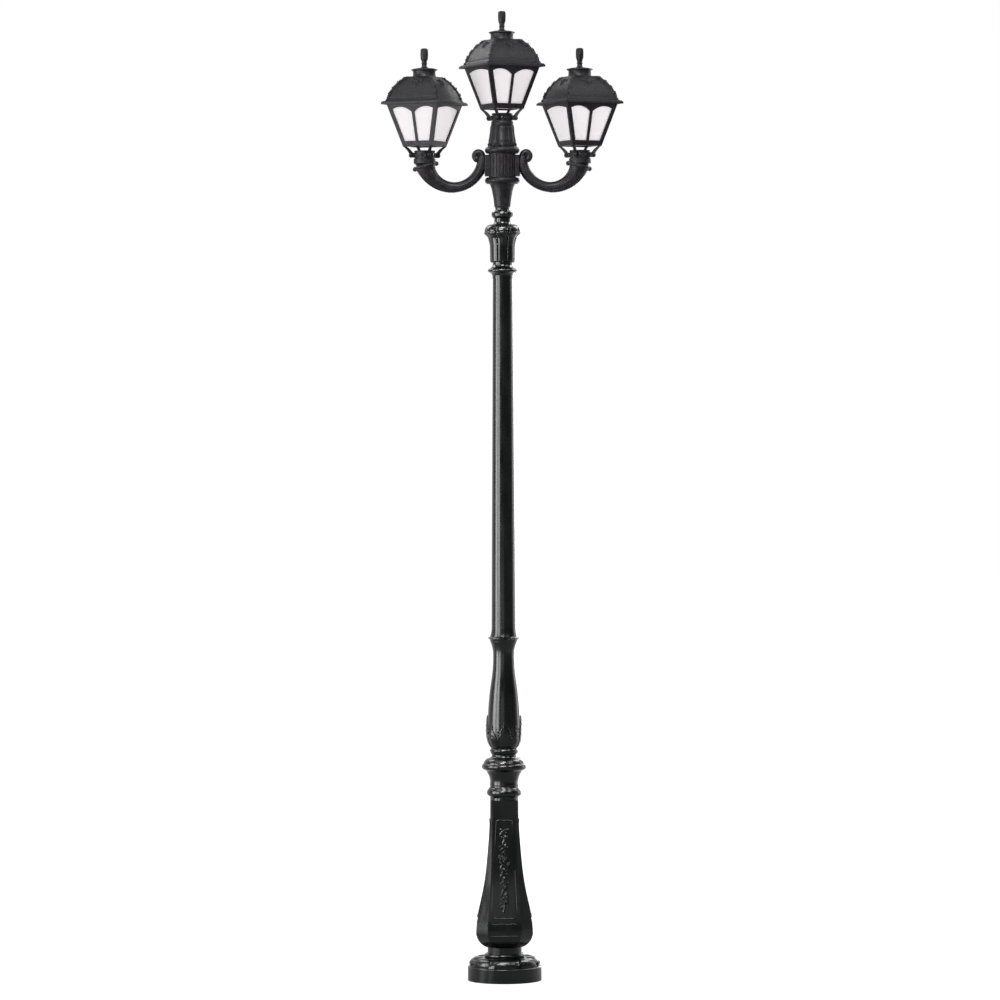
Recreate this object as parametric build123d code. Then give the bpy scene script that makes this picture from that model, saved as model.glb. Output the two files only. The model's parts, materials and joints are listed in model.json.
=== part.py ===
from build123d import *
import os
from math import asin, cos, degrees, radians, sin, sqrt

# Garden lamp post: three square lanterns on a turned column, in millimetres.
# The origin is the middle of the foot on the ground, +Z is up and the two arms lie along X.
# A steel pipe on a ground plate carries everything; hollow mouldings are threaded over it.

# ---- walls and fits ----
wall = 4.0                # moulded casings
pipe_gap = 0.3            # casing bores round the steel pipes
seat_gap = 0.3            # loosely nested mouldings, all round
turn_gap = 0.05           # lantern collar on its spigot, all round
plug_gap = 0.1            # pins, screws and plugs in their holes, all round

# ---- steel core ----
pipe_r = 30.15
pipe_wall = 2.9
top_pipe_r = 21.2
top_pipe_wall = 2.6
pipe_lap = 30.0           # the reducer reaches this far down into the core pipe
reducer_step = 4.0        # step in the reducer's bore that the top pipe stands on
reducer_flange = 8.0
top_pipe_short = 6.0      # the top pipe ends this far below the top of the spigot round it
ground_plate_t = 8.0
anchor_circle = 180.0
anchor_hole_r = 7.0
anchor_count = 4

# ---- plinth ----
plinth_r = 126.0
plinth_side_h = 49.0
shoulder_inset = 8.0      # step from the plinth's side to its rounded shoulder
shoulder_h = 28.0
shoulder_run = 22.0
neck_r = 58.3
neck_bead = 9.2           # the moulding round the foot of the neck stands out this far
neck_bead_h = 15.0
palmette_count = 8
palmette_rise = 3.0
plinth_round = 3.0        # rounding of the side's upper edge

# ---- square pedestal with chamfered corners ----
pedestal_neck_h = 22.0
pedestal_bowl_h = 52.0
pedestal_flank_h = 449.0
pedestal_hip_r = 96.6
pedestal_top_r = 47.4
hip_chamfer = 39.0        # leg of the corner chamfer at the widest place
top_chamfer = 7.0         # and at the top
panel_foot_rise = 52.0    # raised frame on each side, above the hip
panel_head_drop = 64.0    # and below the top
panel_margin = 6.0        # from the frame to the edge of the flat at its foot
panel_head_margin = 14.0  # and at its head
panel_corner = 12.0
panel_line = 4.0
panel_relief = 1.6

# ---- mouldings between pedestal and shaft ----
band_h = 40.0
band_relief = 9.0
cove_h = 52.0
cove_depth = 1.5
cushion_h = 50.0
cushion_r = 76.3
cushion_neck_h = 14.0
baluster_foot_r = 42.2
baluster_bead = 4.7
baluster_bead_h = 22.0
baluster_belly_r = 56.0
baluster_belly_h = 88.0
baluster_body_h = 313.0
baluster_waist_r = 36.4
baluster_throat_h = 49.0
throat_flare = 5.0
throat_ring = 12.9        # sharp ring under the shaft, beyond the shaft's foot
throat_ring_h = 52.0
leaf_relief = 3.2
leaf_count = 8
tall_leaf_h = 112.0
short_leaf_h = 84.0
leaf_half_w = 17.0

# ---- shaft ----
shaft_foot_r = 41.3
shaft_top_r = 33.5
shaft_h = 1183.0
collar_ring = 14.4
collar_h = 52.0

# ---- capital and neck under the hub ----
bell_h = 111.0
bell_lip_r = 61.0
bell_waist_r = 46.0       # under the rolled lip
bell_roll_h = 27.0        # height of the rolled lip
bell_mouth_r = 40.0
bell_cap_h = 29.0
bell_leaf_count = 8
bell_leaf_relief = 1.8
bell_leaf_foot = 12.0     # bare stretch of the bell under its leaves
bell_leaf_half_w = 13.0
bell_notch_r = 5.0        # notch in the lip between two leaves
bell_notch_depth = 4.0
top_neck_r = 28.0
top_neck_h = 53.0
top_neck_bead = 7.4
top_neck_pinch = 3.9

# ---- hub ----
cone_h = 77.0
cone_top_r = 43.5
ring_h = 21.0             # the two round rings above and below the drum
drum_r = 47.0
drum_h = 82.0
flute_count = 24
flute_r = 3.6
pad_half_w = 20.0
pad_depth = 17.0
drum_wall = 8.0
crown_h = 75.0
crown_foot_r = 49.0
crown_top_r = 38.0
crown_band_h = 13.0
crown_rib_count = 12
crown_rib_w = 4.0
crown_rib_relief = 1.6

# ---- arms ----
plate_t = 13.5
plate_half_w = 19.0
plate_margin = 5.0        # plate's ends inside the drum's height
plate_chamfer = 4.0
arm_rise = 24.0           # from the drum's middle up to the arm's cup
arm_r_end = 35.0          # mouth of the leaf that flares out under the cup
arm_r_leaf = 24.5         # half way down the bend
arm_r_low = 17.8
arm_r_root = 16.5
arm_mouth_angle = 15.0    # degrees down the bend, from the height of the cup's top
arm_lip_r = 6.0           # rolled edge of the leaf
duct_r = 8.0
curl_rise = 33.0
curl_r = 12.0
curl_tube_r = 11.0
curl_turn = 235.0
curl_tip_r = 12.2
curl_eye_r = 6.5
curl_gap = 0.8            # curl to the hub's upper ring
curl_sink = 8.0           # the curl's root runs this far down inside the bend
cup_r = 37.4
cup_h = 20.0
cup_foot_r = 29.0
cup_foot_h = 18.0         # the cup's foot runs this far down inside the leaf
arm_screw_r = 3.0
arm_screw_head_r = 5.0
arm_screw_head_h = 4.0
arm_screw_spread = 44.0
arm_screw_bite = 9.0

# ---- lantern: heights from its rim, downwards ----
lantern_turn = 26.0       # degrees from square on, in the photograph
lantern_gap = 22.6        # side lantern's rim to the middle lantern's cage
rim_half = 110.0
rim_lip = 5.0
rim_rise = 6.0
skirt_t = 5.5
eaves_ledge = 11.0        # flat rim round the foot of the roof
eaves_inset = 18.5
eaves_h = 14.0
dome_top_half = 41.0
dome_h = 71.0
dome_bow = 7.0
roof_wall = 3.5
hip_rib_w = 7.0
hip_rib_relief = 2.4
hip_knob_count = 4
hip_knob_r = 5.5
flange_t = 4.0
flange_out = 4.0
gasket_t = 2.0
gasket_w = 7.0
cage_head_half = 97.0
cage_foot_half = 55.0
cage_h = 146.0
cage_wall = 5.0
corner_bar_w = 13.0
mid_bar_w = 8.5
ring_bar_h = 17.0
ledge_t = 5.0
ledge_w = 9.0
pendant_drop = 33.0
arch_spring_drop = 22.0
arch_bow = 9.0
diffuser_wall = 3.0
leg_h = 14.0              # open space between the cage and the collar
leg_w = 9.0
leg_t = 8.0
leg_foot_out = 16.0
leg_foot_h = 16.0
lantern_collar_r = 34.0
lantern_collar_h = 27.0
collar_bead = 1.8
collar_bead_h = 5.0
collar_top_t = 3.0
spigot_r = 26.0
spigot_wall = 4.0
spigot_in = 16.0
spigot_up = 22.0
grub_r = 2.5
grub_count = 3

# ---- chimney, finial and lamp ----
chimney_r = 40.0
chimney_body_h = 19.0
chimney_flange = 4.0
chimney_flange_h = 7.0
chimney_slope_h = 4.0
finial_foot_r = 20.0
finial_stem_r = 8.8
finial_stem_h = 24.0
finial_bud_r = 12.8
finial_bud_h = 42.0
finial_petal_count = 6
finial_groove_r = 3.0
stud_r = 4.0
stud_boss_r = 10.0
stud_boss_h = 14.0
tray_rise = 6.0
tray_t = 2.0
tray_gap = 4.0
tray_post_r = 5.0
tray_post_inset = 24.0
tray_screw_r = 2.0
tray_screw_head_r = 4.0
tray_screw_head_h = 2.2
tray_screw_bite = 10.0
holder_r = 21.0
holder_h = 44.0
lamp_cap_r = 13.0
lamp_cap_h = 26.0
lamp_bulb_r = 30.0
lamp_h = 108.0

# ---- heights of the joints between the stacked pieces, from the ground ----
plinth_h = plinth_side_h + shoulder_h + neck_bead_h
pedestal_z = plinth_h
hip_z = pedestal_z + pedestal_neck_h + pedestal_bowl_h
band_z = hip_z + pedestal_flank_h
cushion_z = band_z + band_h + cove_h
baluster_z = cushion_z + cushion_h + cushion_neck_h
throat_z = baluster_z + baluster_bead_h + baluster_body_h
shaft_z = throat_z + baluster_throat_h + throat_ring_h
collar_z = shaft_z + shaft_h
bell_z = collar_z + collar_h
top_neck_z = bell_z + bell_h + bell_cap_h
cone_z = top_neck_z + top_neck_h
drum_z = cone_z + cone_h + ring_h
drum_mid_z = drum_z + drum_h / 2
crown_z = drum_z + drum_h
crown_top_z = crown_z + ring_h + crown_h + crown_band_h
cup_top_z = drum_mid_z + arm_rise

# ---- sizes that follow from the ones above ----
bore_r = pipe_r + pipe_gap
top_bore_r = top_pipe_r + pipe_gap
pipe_top_z = bell_z + bell_h / 2
collar_bore_r = spigot_r + turn_gap
lantern_h = cage_h + leg_h + lantern_collar_h       # rim down to the foot of the collar
cage_slope = (cage_head_half - cage_foot_half) / cage_h
rim_corner_r = rim_half * sqrt(2)
eaves_half = rim_half - eaves_ledge
dome_foot_z = rim_rise + eaves_h
dome_top_z = dome_foot_z + dome_h
tray_post_x = rim_half - eaves_inset - tray_post_inset
head_step = crown_top_z - cup_top_z               # the middle lantern stands this much higher
pad_x = drum_r - 0.5
plate_out_x = pad_x + plate_t
hub_ring_r = plate_out_x - 3.0
arm_root_x = hub_ring_r + curl_gap + curl_tube_r


def cage_half(height):
    """Half the width of the cage's outside at a height under the rim."""
    return cage_head_half + cage_slope * height


arm_reach = rim_corner_r + lantern_gap + cage_half(-head_step) * sqrt(2)
arm_arc_r = (arm_reach - arm_root_x) / 2
arm_arc_x = (arm_reach + arm_root_x) / 2


# ---- shapes ----
def outline(*points):
    """Flat face in the XZ plane round (x, z) points that are listed anticlockwise.

    A third number bows the side that ends at its point, outwards where it is positive.
    """
    sides = []
    last = points[-1]
    for point in points:
        start = Vector(last[0], 0, last[1])
        end = Vector(point[0], 0, point[1])
        last = point
        if len(point) == 2:
            sides.append(Line(start, end))
            continue
        along = end - start
        out = Vector(along.Z, 0, -along.X).normalized()
        sides.append(ThreePointArc(start, (start + end) / 2 + out * point[2], end))
    return make_face(sides)


def turned(*points):
    """Solid turned about Z from its half profile."""
    return revolve(outline(*points), Axis.Z)


def rod(radius, low, high):
    """Upright cylinder between two heights."""
    return Pos(0, 0, low) * Cylinder(radius, high - low, align=(Align.CENTER, Align.CENTER, Align.MIN))


def tube(outer, inner, low, high):
    """Upright tube between two heights."""
    return rod(outer, low, high) - rod(inner, low, high)


def slab(half_x, half_y, low, high):
    """Upright box on the Z axis between two heights."""
    return Pos(0, 0, low) * Box(
        2 * half_x, 2 * half_y, high - low, align=(Align.CENTER, Align.CENTER, Align.MIN)
    )


def prism(face, depth):
    """Face in the XZ plane drawn out along Y to both sides."""
    return extrude(face, amount=depth, dir=(0, 1, 0), both=True)


def four_sided(face, reach):
    """Solid on a square plan that shows the same silhouette from the front and from the side."""
    bar = prism(face, reach)
    return bar & Rot(0, 0, 90) * bar


def spread(count, shape, start=0.0):
    """Copies of a shape about the Z axis, evenly spaced."""
    return [Rot(0, 0, start + 360 * i / count) * shape for i in range(count)]


def leaf_cutter(foot, height, half_w, inner, outer):
    """Pointed leaf that reaches out along +X, to be intersected with a turned skin."""
    belly = foot + 0.45 * height
    edge = [
        ThreePointArc((0, -0.6 * half_w, foot), (0, -half_w, belly), (0, 0, foot + height)),
        ThreePointArc((0, 0, foot + height), (0, half_w, belly), (0, 0.6 * half_w, foot)),
        Line((0, 0.6 * half_w, foot), (0, -0.6 * half_w, foot)),
    ]
    return Pos(inner, 0, 0) * extrude(make_face(edge), amount=outer - inner, dir=(1, 0, 0))


# ---- steel core ----
def ground_plate():
    plate = rod(plinth_r - wall - seat_gap, 0, ground_plate_t)
    holes = spread(
        anchor_count,
        Pos(anchor_circle / 2, 0, 0) * rod(anchor_hole_r, 0, ground_plate_t),
        start=45,
    )
    return plate - rod(pipe_r - pipe_wall, 0, ground_plate_t) - holes


def core_pipe():
    return tube(pipe_r, pipe_r - pipe_wall, ground_plate_t, pipe_top_z)


def pipe_reducer():
    """Turned plug in the core pipe's mouth that holds the thinner top pipe."""
    plug = turned(
        (top_bore_r, pipe_top_z - pipe_lap),
        (pipe_r - pipe_wall - plug_gap, pipe_top_z - pipe_lap),
        (pipe_r - pipe_wall - plug_gap, pipe_top_z),
        (pipe_r, pipe_top_z),
        (pipe_r, pipe_top_z + reducer_flange),
        (top_bore_r, pipe_top_z + reducer_flange),
    )
    low = pipe_top_z - pipe_lap
    return plug + tube(top_bore_r, top_pipe_r - top_pipe_wall, low, low + reducer_step)


def top_pipe():
    low = pipe_top_z - pipe_lap + reducer_step
    pipe = tube(top_pipe_r, top_pipe_r - top_pipe_wall, low, crown_top_z + spigot_up - top_pipe_short)
    return pipe - wiring_hole()


# ---- column mouldings, from the ground up ----
def base_plinth():
    shoulder_r = plinth_r - shoulder_inset
    shoulder_top = plinth_side_h + shoulder_h
    bead_r = neck_r + neck_bead
    outside = turned(
        (0, 0),
        (plinth_r, 0),
        (plinth_r, plinth_side_h - plinth_round),
        (shoulder_r + 4, plinth_side_h, 1.0),
        (shoulder_r, plinth_side_h + 1),
        (shoulder_r - shoulder_run, shoulder_top, 6.0),
        (bead_r, shoulder_top + 3),
        (bead_r - 2, plinth_h, 3.0),
        (0, plinth_h),
    )
    inside = turned(
        (0, 0),
        (plinth_r - wall, 0),
        (plinth_r - wall, plinth_side_h - 1.5 * wall),
        (shoulder_r - wall, plinth_side_h - wall / 2),
        (shoulder_r - shoulder_run - wall, shoulder_top - wall, 6.0),
        (neck_r - wall, shoulder_top - wall),
        (neck_r - wall, plinth_h - wall),
        (0, plinth_h - wall),
    )
    petal = turned(
        (0, plinth_side_h),
        (shoulder_r + 1, plinth_side_h),
        (shoulder_r - shoulder_run + 1, shoulder_top + palmette_rise, 6.0 + palmette_rise),
        (0, shoulder_top + palmette_rise),
    )
    wedge_foot = shoulder_r * sin(radians(150 / palmette_count))
    wedge = extrude(
        make_face(
            Polyline(
                (bead_r - 2, -4, 0),
                (shoulder_r, -wedge_foot, 0),
                (shoulder_r + 6, 0, 0),
                (shoulder_r, wedge_foot, 0),
                (bead_r - 2, 4, 0),
                close=True,
            )
        ),
        amount=plinth_h,
    )
    petals = [petal & cutter for cutter in spread(palmette_count, wedge)]
    return outside + petals - inside - rod(bore_r, 0, plinth_h)


def pedestal_side(neck, hip, top):
    """Silhouette of the pedestal between its neck, its widest place and its top."""
    edge = Spline(
        (hip, 0, hip_z),
        (top + 0.87 * (hip - top), 0, hip_z + 0.12 * pedestal_flank_h),
        (top + 0.41 * (hip - top), 0, hip_z + 0.36 * pedestal_flank_h),
        (top + 0.13 * (hip - top), 0, hip_z + 0.64 * pedestal_flank_h),
        (top, 0, band_z),
        tangents=((0, 0, 1), (0, 0, 1)),
    )
    bowl_foot = pedestal_z + pedestal_neck_h
    bowl = ThreePointArc(
        (neck, 0, bowl_foot),
        (neck + 0.72 * (hip - neck), 0, bowl_foot + 0.42 * pedestal_bowl_h),
        (hip, 0, hip_z),
    )
    half = [
        Line((0, 0, bowl_foot), (neck, 0, bowl_foot)),
        bowl,
        edge,
        Line((top, 0, band_z), (0, 0, band_z)),
    ]
    face = make_face(half + [Line((0, 0, band_z), (0, 0, bowl_foot))])
    return face + mirror(face, Plane.YZ)


def pedestal_body(grow):
    """Chamfered square pedestal, drawn larger by grow on every side."""
    reach = 2 * pedestal_hip_r
    flats = pedestal_side(neck_r + grow, pedestal_hip_r + grow, pedestal_top_r + grow)
    hip_corner = (2 * pedestal_hip_r - hip_chamfer) / sqrt(2)
    top_corner = (2 * pedestal_top_r - top_chamfer) / sqrt(2)
    corners = pedestal_side(neck_r + grow, hip_corner + grow, top_corner + grow)
    return four_sided(flats, reach) & Rot(0, 0, 45) * four_sided(corners, reach)


def panel_outline(inset):
    """Outline of the raised frame on one side of the pedestal."""
    foot = hip_z + panel_foot_rise + inset
    head = band_z - panel_head_drop - inset
    foot_half = pedestal_hip_r - hip_chamfer - panel_margin - inset
    head_half = pedestal_top_r - top_chamfer - panel_head_margin - inset
    cut = panel_corner - inset / 2
    return outline(
        (foot_half - cut / 2, foot),
        (foot_half, foot + cut),
        (head_half, head - cut),
        (head_half - cut / 2, head),
        (cut / 2 - head_half, head),
        (-head_half, head - cut),
        (-foot_half, foot + cut),
        (cut / 2 - foot_half, foot),
    )


def pedestal_casing():
    body = pedestal_body(0) + rod(neck_r, pedestal_z, pedestal_z + pedestal_neck_h)
    line = panel_outline(0) - panel_outline(panel_line)
    reach = 2 * pedestal_hip_r
    lines = prism(line, reach) + Rot(0, 0, 90) * prism(line, reach)
    frames = pedestal_body(panel_relief) & lines
    bowl_foot = pedestal_z + pedestal_neck_h
    waist_r = pedestal_top_r + 0.41 * (pedestal_hip_r - pedestal_top_r)
    hollow_top = band_z - 5 * wall
    hollow = turned(
        (0, bowl_foot),
        (neck_r - wall, bowl_foot),
        (pedestal_hip_r - 2 * wall, hip_z, 2 * wall),
        (waist_r - 1.5 * wall, hip_z + 0.36 * pedestal_flank_h, wall),
        (pedestal_top_r - 1.5 * wall, hollow_top, -1.5 * wall),
        (0, hollow_top),
    )
    return body + frames - hollow - rod(bore_r, pedestal_z, band_z)


def pedestal_band():
    """Ring and cove between the pedestal and the cushion ring."""
    foot = pedestal_top_r + 0.6
    ring = pedestal_top_r + band_relief
    waist = pedestal_top_r + cove_depth
    body = turned(
        (bore_r, band_z),
        (foot, band_z),
        (foot, band_z + 8),
        (ring, band_z + 16, -2.0),
        (ring, band_z + band_h - 6, 2.5),
        (waist + 3, band_z + band_h),
        (waist, band_z + band_h + 12, -2.0),
        (waist + 8.4, cushion_z, -4.0),
        (bore_r, cushion_z),
    )
    return body


def cushion_ring():
    top = cushion_z + cushion_h
    return turned(
        (bore_r, cushion_z),
        (pedestal_top_r + cove_depth + 8.4, cushion_z),
        (cushion_r - 6, cushion_z + 12, -2.0),
        (cushion_r - 6, cushion_z + 32, 6.0),
        (baluster_foot_r + 13, top, 3.0),
        (baluster_foot_r + 6, top + 2),
        (baluster_foot_r, baluster_z, -3.0),
        (bore_r, baluster_z),
    )


def baluster_skin(grow):
    """Outside of the baluster's body, drawn larger by grow."""
    foot_z = baluster_z + baluster_bead_h
    middle_r = baluster_waist_r + 0.48 * (baluster_belly_r - baluster_waist_r)
    edge = Spline(
        (baluster_foot_r + grow, 0, foot_z),
        (baluster_belly_r + grow, 0, foot_z + baluster_belly_h),
        (middle_r + grow, 0, foot_z + 0.67 * baluster_body_h),
        (baluster_waist_r + grow, 0, throat_z),
        tangents=((0.75, 0, 1), (0, 0, 1)),
    )
    face = make_face(
        [
            edge,
            Line((baluster_waist_r + grow, 0, throat_z), (0, 0, throat_z)),
            Line((0, 0, throat_z), (0, 0, foot_z)),
            Line((0, 0, foot_z), (baluster_foot_r + grow, 0, foot_z)),
        ]
    )
    return revolve(face, Axis.Z)


def baluster():
    foot_z = baluster_z + baluster_bead_h
    ring_z = throat_z + baluster_throat_h
    bead_r = baluster_foot_r + baluster_bead
    ring_r = shaft_foot_r + throat_ring
    bead = turned(
        (0, baluster_z),
        (baluster_foot_r, baluster_z),
        (bead_r, baluster_z + 8, 1.0),
        (bead_r, foot_z - 6, 1.5),
        (baluster_foot_r, foot_z),
        (0, foot_z),
    )
    throat = turned(
        (0, throat_z),
        (baluster_waist_r, throat_z),
        (shaft_foot_r + throat_flare, ring_z, -3.0),
        (ring_r, ring_z + 11, -2.0),
        (ring_r, ring_z + 13),
        (shaft_foot_r + throat_flare, ring_z + 17),
        (shaft_foot_r, shaft_z, -1.5),
        (0, shaft_z),
    )
    skin = baluster_skin(leaf_relief)
    reach = 2 * baluster_belly_r
    tall = leaf_cutter(foot_z, tall_leaf_h - baluster_bead_h, leaf_half_w, bore_r, reach)
    short = leaf_cutter(foot_z, short_leaf_h - baluster_bead_h, leaf_half_w, bore_r, reach)
    leaves = spread(leaf_count // 2, tall) + spread(leaf_count // 2, short, start=360 / leaf_count)
    body = bead + baluster_skin(0) + throat + [skin & leaf for leaf in leaves]
    hollow = turned(
        (0, foot_z + 4),
        (bore_r, foot_z + 4),
        (bore_r, foot_z + 0.7 * baluster_body_h, baluster_belly_r - wall - bore_r - 3),
        (0, foot_z + 0.7 * baluster_body_h),
    )
    return body - hollow - rod(bore_r, baluster_z, shaft_z)


def shaft_tube():
    """Long tapered tube of the column."""
    return turned(
        (bore_r, shaft_z),
        (shaft_foot_r, shaft_z),
        (shaft_top_r, collar_z),
        (bore_r, collar_z),
    )


def shaft_collar():
    ring = shaft_top_r + collar_ring
    return turned(
        (bore_r, collar_z),
        (shaft_top_r + 1.4, collar_z),
        (shaft_top_r + 1.4, collar_z + 10),
        (ring, collar_z + 22, -2.0),
        (ring, collar_z + 32, 2.5),
        (shaft_top_r, collar_z + 46, -2.0),
        (shaft_top_r, bell_z),
        (bore_r, bell_z),
    )


def bell_skin(grow):
    """Outside of the capital's bell, drawn larger by grow."""
    lip_z = bell_z + bell_h
    roll_low = lip_z - 0.6 * bell_roll_h
    edge_r = bell_lip_r - 4
    return turned(
        (0, bell_z),
        (shaft_top_r + grow, bell_z),
        (bell_waist_r + grow, roll_low - 8, -2.5),
        (edge_r, roll_low, -1.5),
        (edge_r, roll_low + bell_roll_h, 4.0),
        (bell_mouth_r + 4, lip_z + 0.7 * bell_cap_h, 1.5),
        (0, lip_z + 0.7 * bell_cap_h),
    )


def capital():
    skin = bell_skin(bell_leaf_relief)
    blade = leaf_cutter(
        bell_z + bell_leaf_foot, bell_h + bell_cap_h, bell_leaf_half_w, bore_r, 2 * bell_lip_r
    )
    leaves = [skin & leaf for leaf in spread(bell_leaf_count, blade)]
    cap = turned(
        (0, bell_z + bell_h + 0.6 * bell_cap_h),
        (bell_mouth_r, bell_z + bell_h + 0.6 * bell_cap_h),
        (top_neck_r + 0.4, top_neck_z, -2.0),
        (0, top_neck_z),
    )
    hollow = rod(bore_r, bell_z, pipe_top_z + reducer_flange + wall)
    notch_x = bell_lip_r + bell_notch_r - bell_notch_depth
    notch = Pos(notch_x, 0, 0) * rod(bell_notch_r, bell_z + bell_h - bell_roll_h, top_neck_z)
    notches = spread(bell_leaf_count, notch, start=180 / bell_leaf_count)
    return bell_skin(0) + leaves + cap - notches - hollow - rod(top_bore_r, bell_z, top_neck_z)


def top_neck():
    bead_r = top_neck_r + top_neck_bead
    pinch_r = top_neck_r - top_neck_pinch
    return turned(
        (top_bore_r, top_neck_z),
        (top_neck_r, top_neck_z),
        (top_neck_r, top_neck_z + 12),
        (bead_r, top_neck_z + 18, 0.8),
        (bead_r, top_neck_z + 34, 2.0),
        (pinch_r, top_neck_z + 41, -1.0),
        (top_neck_r, cone_z, -1.0),
        (top_bore_r, cone_z),
    )


# ---- hub ----
def hub_cone():
    ring_low = cone_z + cone_h
    return turned(
        (top_bore_r, cone_z),
        (top_neck_r, cone_z),
        (top_neck_r + 0.36 * (cone_top_r - top_neck_r), cone_z + 0.55 * cone_h, -1.0),
        (cone_top_r, ring_low, -1.5),
        (hub_ring_r - 4, ring_low, 0.5),
        (hub_ring_r - 4, drum_z, ring_h / 2 - 4),
        (drum_r - drum_wall, drum_z),
        (drum_r - drum_wall, drum_z - 4),
        (top_bore_r, drum_z - 4),
    )


def wiring_hole():
    """Hole along X that lets the two arms' wires through to the top pipe."""
    return Pos(0, 0, drum_mid_z) * Rot(0, 90, 0) * Cylinder(duct_r, 4 * drum_r)


def hub_drum():
    inner_r = drum_r - drum_wall
    groove = Pos(drum_r + 1.2, 0, 0) * rod(flute_r, drum_z + 3, crown_z - 3)
    side = 360 / flute_count
    pad_angle = degrees(1.2 * pad_half_w / drum_r)
    grooves = []
    for i in range(flute_count):
        angle = (i + 0.5) * side
        if min(abs(angle), abs(angle - 180), abs(angle - 360)) > pad_angle:
            grooves.append(Rot(0, 0, angle) * groove)
    pad = Box(2 * pad_x, 2 * pad_half_w, drum_h - 2 * plate_margin)
    pad -= Box(2 * (pad_x - pad_depth), 2 * pad_half_w, drum_h)
    body = rod(drum_r, drum_z, crown_z) - grooves - rod(inner_r, drum_z, crown_z)
    body += Pos(0, 0, drum_mid_z) * pad
    body &= slab(pad_x, 2 * drum_r, drum_z, crown_z)
    across = Rot(0, 90, 0) * Cylinder(arm_screw_r + plug_gap, 4 * drum_r)
    holes = [Pos(0, 0, drum_mid_z + arm_screw_spread * k / 2) * across for k in (-1, 1)]
    return body - holes - wiring_hole()


def hub_crown():
    """Fluted collar over the drum that ends in the middle lantern's seat."""
    ring_top = crown_z + ring_h
    band_low = ring_top + crown_h
    inner_r = drum_r - drum_wall

    def side(grow):
        return turned(
            (0, ring_top),
            (crown_foot_r + grow, ring_top),
            (crown_top_r + 6 + grow, ring_top + 0.3 * crown_h, -2.0),
            (crown_top_r + grow, band_low, -1.5),
            (0, band_low),
        )

    ring = turned(
        (0, crown_z),
        (hub_ring_r - 4, crown_z),
        (hub_ring_r - 4, ring_top, ring_h / 2 - 4),
        (0, ring_top),
    )
    band = turned(
        (0, band_low),
        (crown_top_r - 1.5, band_low),
        (crown_top_r - 1.5, crown_top_z, 1.5),
        (0, crown_top_z),
    )
    fin = Pos(crown_foot_r, 0, 0) * slab(crown_foot_r / 2, crown_rib_w / 2, ring_top, band_low)
    ribs = [side(crown_rib_relief) & rib for rib in spread(crown_rib_count, fin)]
    body = ring + side(0) + ribs + band
    hollow = rod(inner_r, crown_z, ring_top - 4)
    seat = rod(spigot_r + plug_gap, crown_top_z - spigot_in, crown_top_z)
    return body - hollow - seat - rod(top_bore_r, crown_z, crown_top_z)


# ---- arms ----
def arc_point(centre_x, centre_z, radius, angle):
    """Point on an upright circle; the angle turns from +X up towards +Z."""
    return Vector(centre_x + radius * cos(radians(angle)), 0, centre_z + radius * sin(radians(angle)))


def arc_section(centre_x, centre_z, radius, angle, tube_r):
    """Round section of a bend, square to its centre line."""
    run = Vector(sin(radians(angle)), 0, -cos(radians(angle)))
    place = Plane(origin=arc_point(centre_x, centre_z, radius, angle), x_dir=(0, 1, 0), z_dir=run)
    return place * Circle(tube_r)


def arm_bend():
    """Bend that flares into a leaf's mouth under the cup, and the scroll on its other end."""
    arc_z = cup_top_z
    low = [
        arc_section(arm_arc_x, arc_z, arm_arc_r, angle, tube_r)
        for angle, tube_r in (
            (-arm_mouth_angle, arm_r_end),
            (-45, arm_r_leaf),
            (-90, arm_r_low),
            (-135, arm_r_low),
            (-180, arm_r_root),
        )
    ]
    mouth_run = Vector(sin(radians(arm_mouth_angle)), 0, cos(radians(arm_mouth_angle)))
    mouth = Plane(origin=arc_point(arm_arc_x, arc_z, arm_arc_r, -arm_mouth_angle), z_dir=mouth_run)
    lip = mouth * Torus(arm_r_end - 0.5, arm_lip_r)
    curl_x = arm_root_x + curl_r
    curl_z = drum_mid_z + curl_rise
    root = Plane(origin=(arm_root_x, 0, arc_z - curl_sink), x_dir=(0, 1, 0)) * Circle(arm_r_root - 1.0)
    start = Plane(origin=(arm_root_x, 0, curl_z), x_dir=(0, 1, 0)) * Circle(curl_tube_r)
    roll = revolve(start, Axis((curl_x, 0, curl_z), (0, 1, 0)), curl_turn)
    tip = Pos(*arc_point(curl_x, curl_z, curl_r, 180 - curl_turn)) * Sphere(curl_tip_r)
    eye = Pos(curl_x, 0, curl_z) * Sphere(curl_eye_r)
    knuckle = Pos(arm_root_x, 0, arc_z) * Sphere(arm_r_root)
    return loft(low) + lip + knuckle + loft([root, start]) + roll + tip + eye


def arm_cup():
    """Turned cup that seats the lantern and stands in the mouth of the arm's leaf."""
    low = cup_top_z - cup_h - cup_foot_h
    return turned(
        (0, low),
        (cup_foot_r, low),
        (cup_foot_r, low + cup_foot_h - 4),
        (cup_r, low + cup_foot_h + 3, -1.5),
        (cup_r, cup_top_z - 1.5),
        (cup_r - 1.5, cup_top_z),
        (0, cup_top_z),
    )


def arm_duct():
    """Way for the wires, from the cup's seat round the bend and level into the drum."""
    level = degrees(asin(arm_rise / arm_arc_r))     # where the bend is as high as the drum's middle
    line = ThreePointArc(
        arc_point(arm_arc_x, cup_top_z, arm_arc_r, -4),
        arc_point(arm_arc_x, cup_top_z, arm_arc_r, -90),
        arc_point(arm_arc_x, cup_top_z, arm_arc_r, level - 180),
    )
    end = line @ 1
    duct = sweep(Plane(line @ 0, z_dir=line % 0) * Circle(duct_r), path=line)
    duct += Pos(*end) * Sphere(duct_r)
    return duct + Pos(end.X / 2, 0, end.Z) * Rot(0, 90, 0) * Cylinder(duct_r, end.X)


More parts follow.
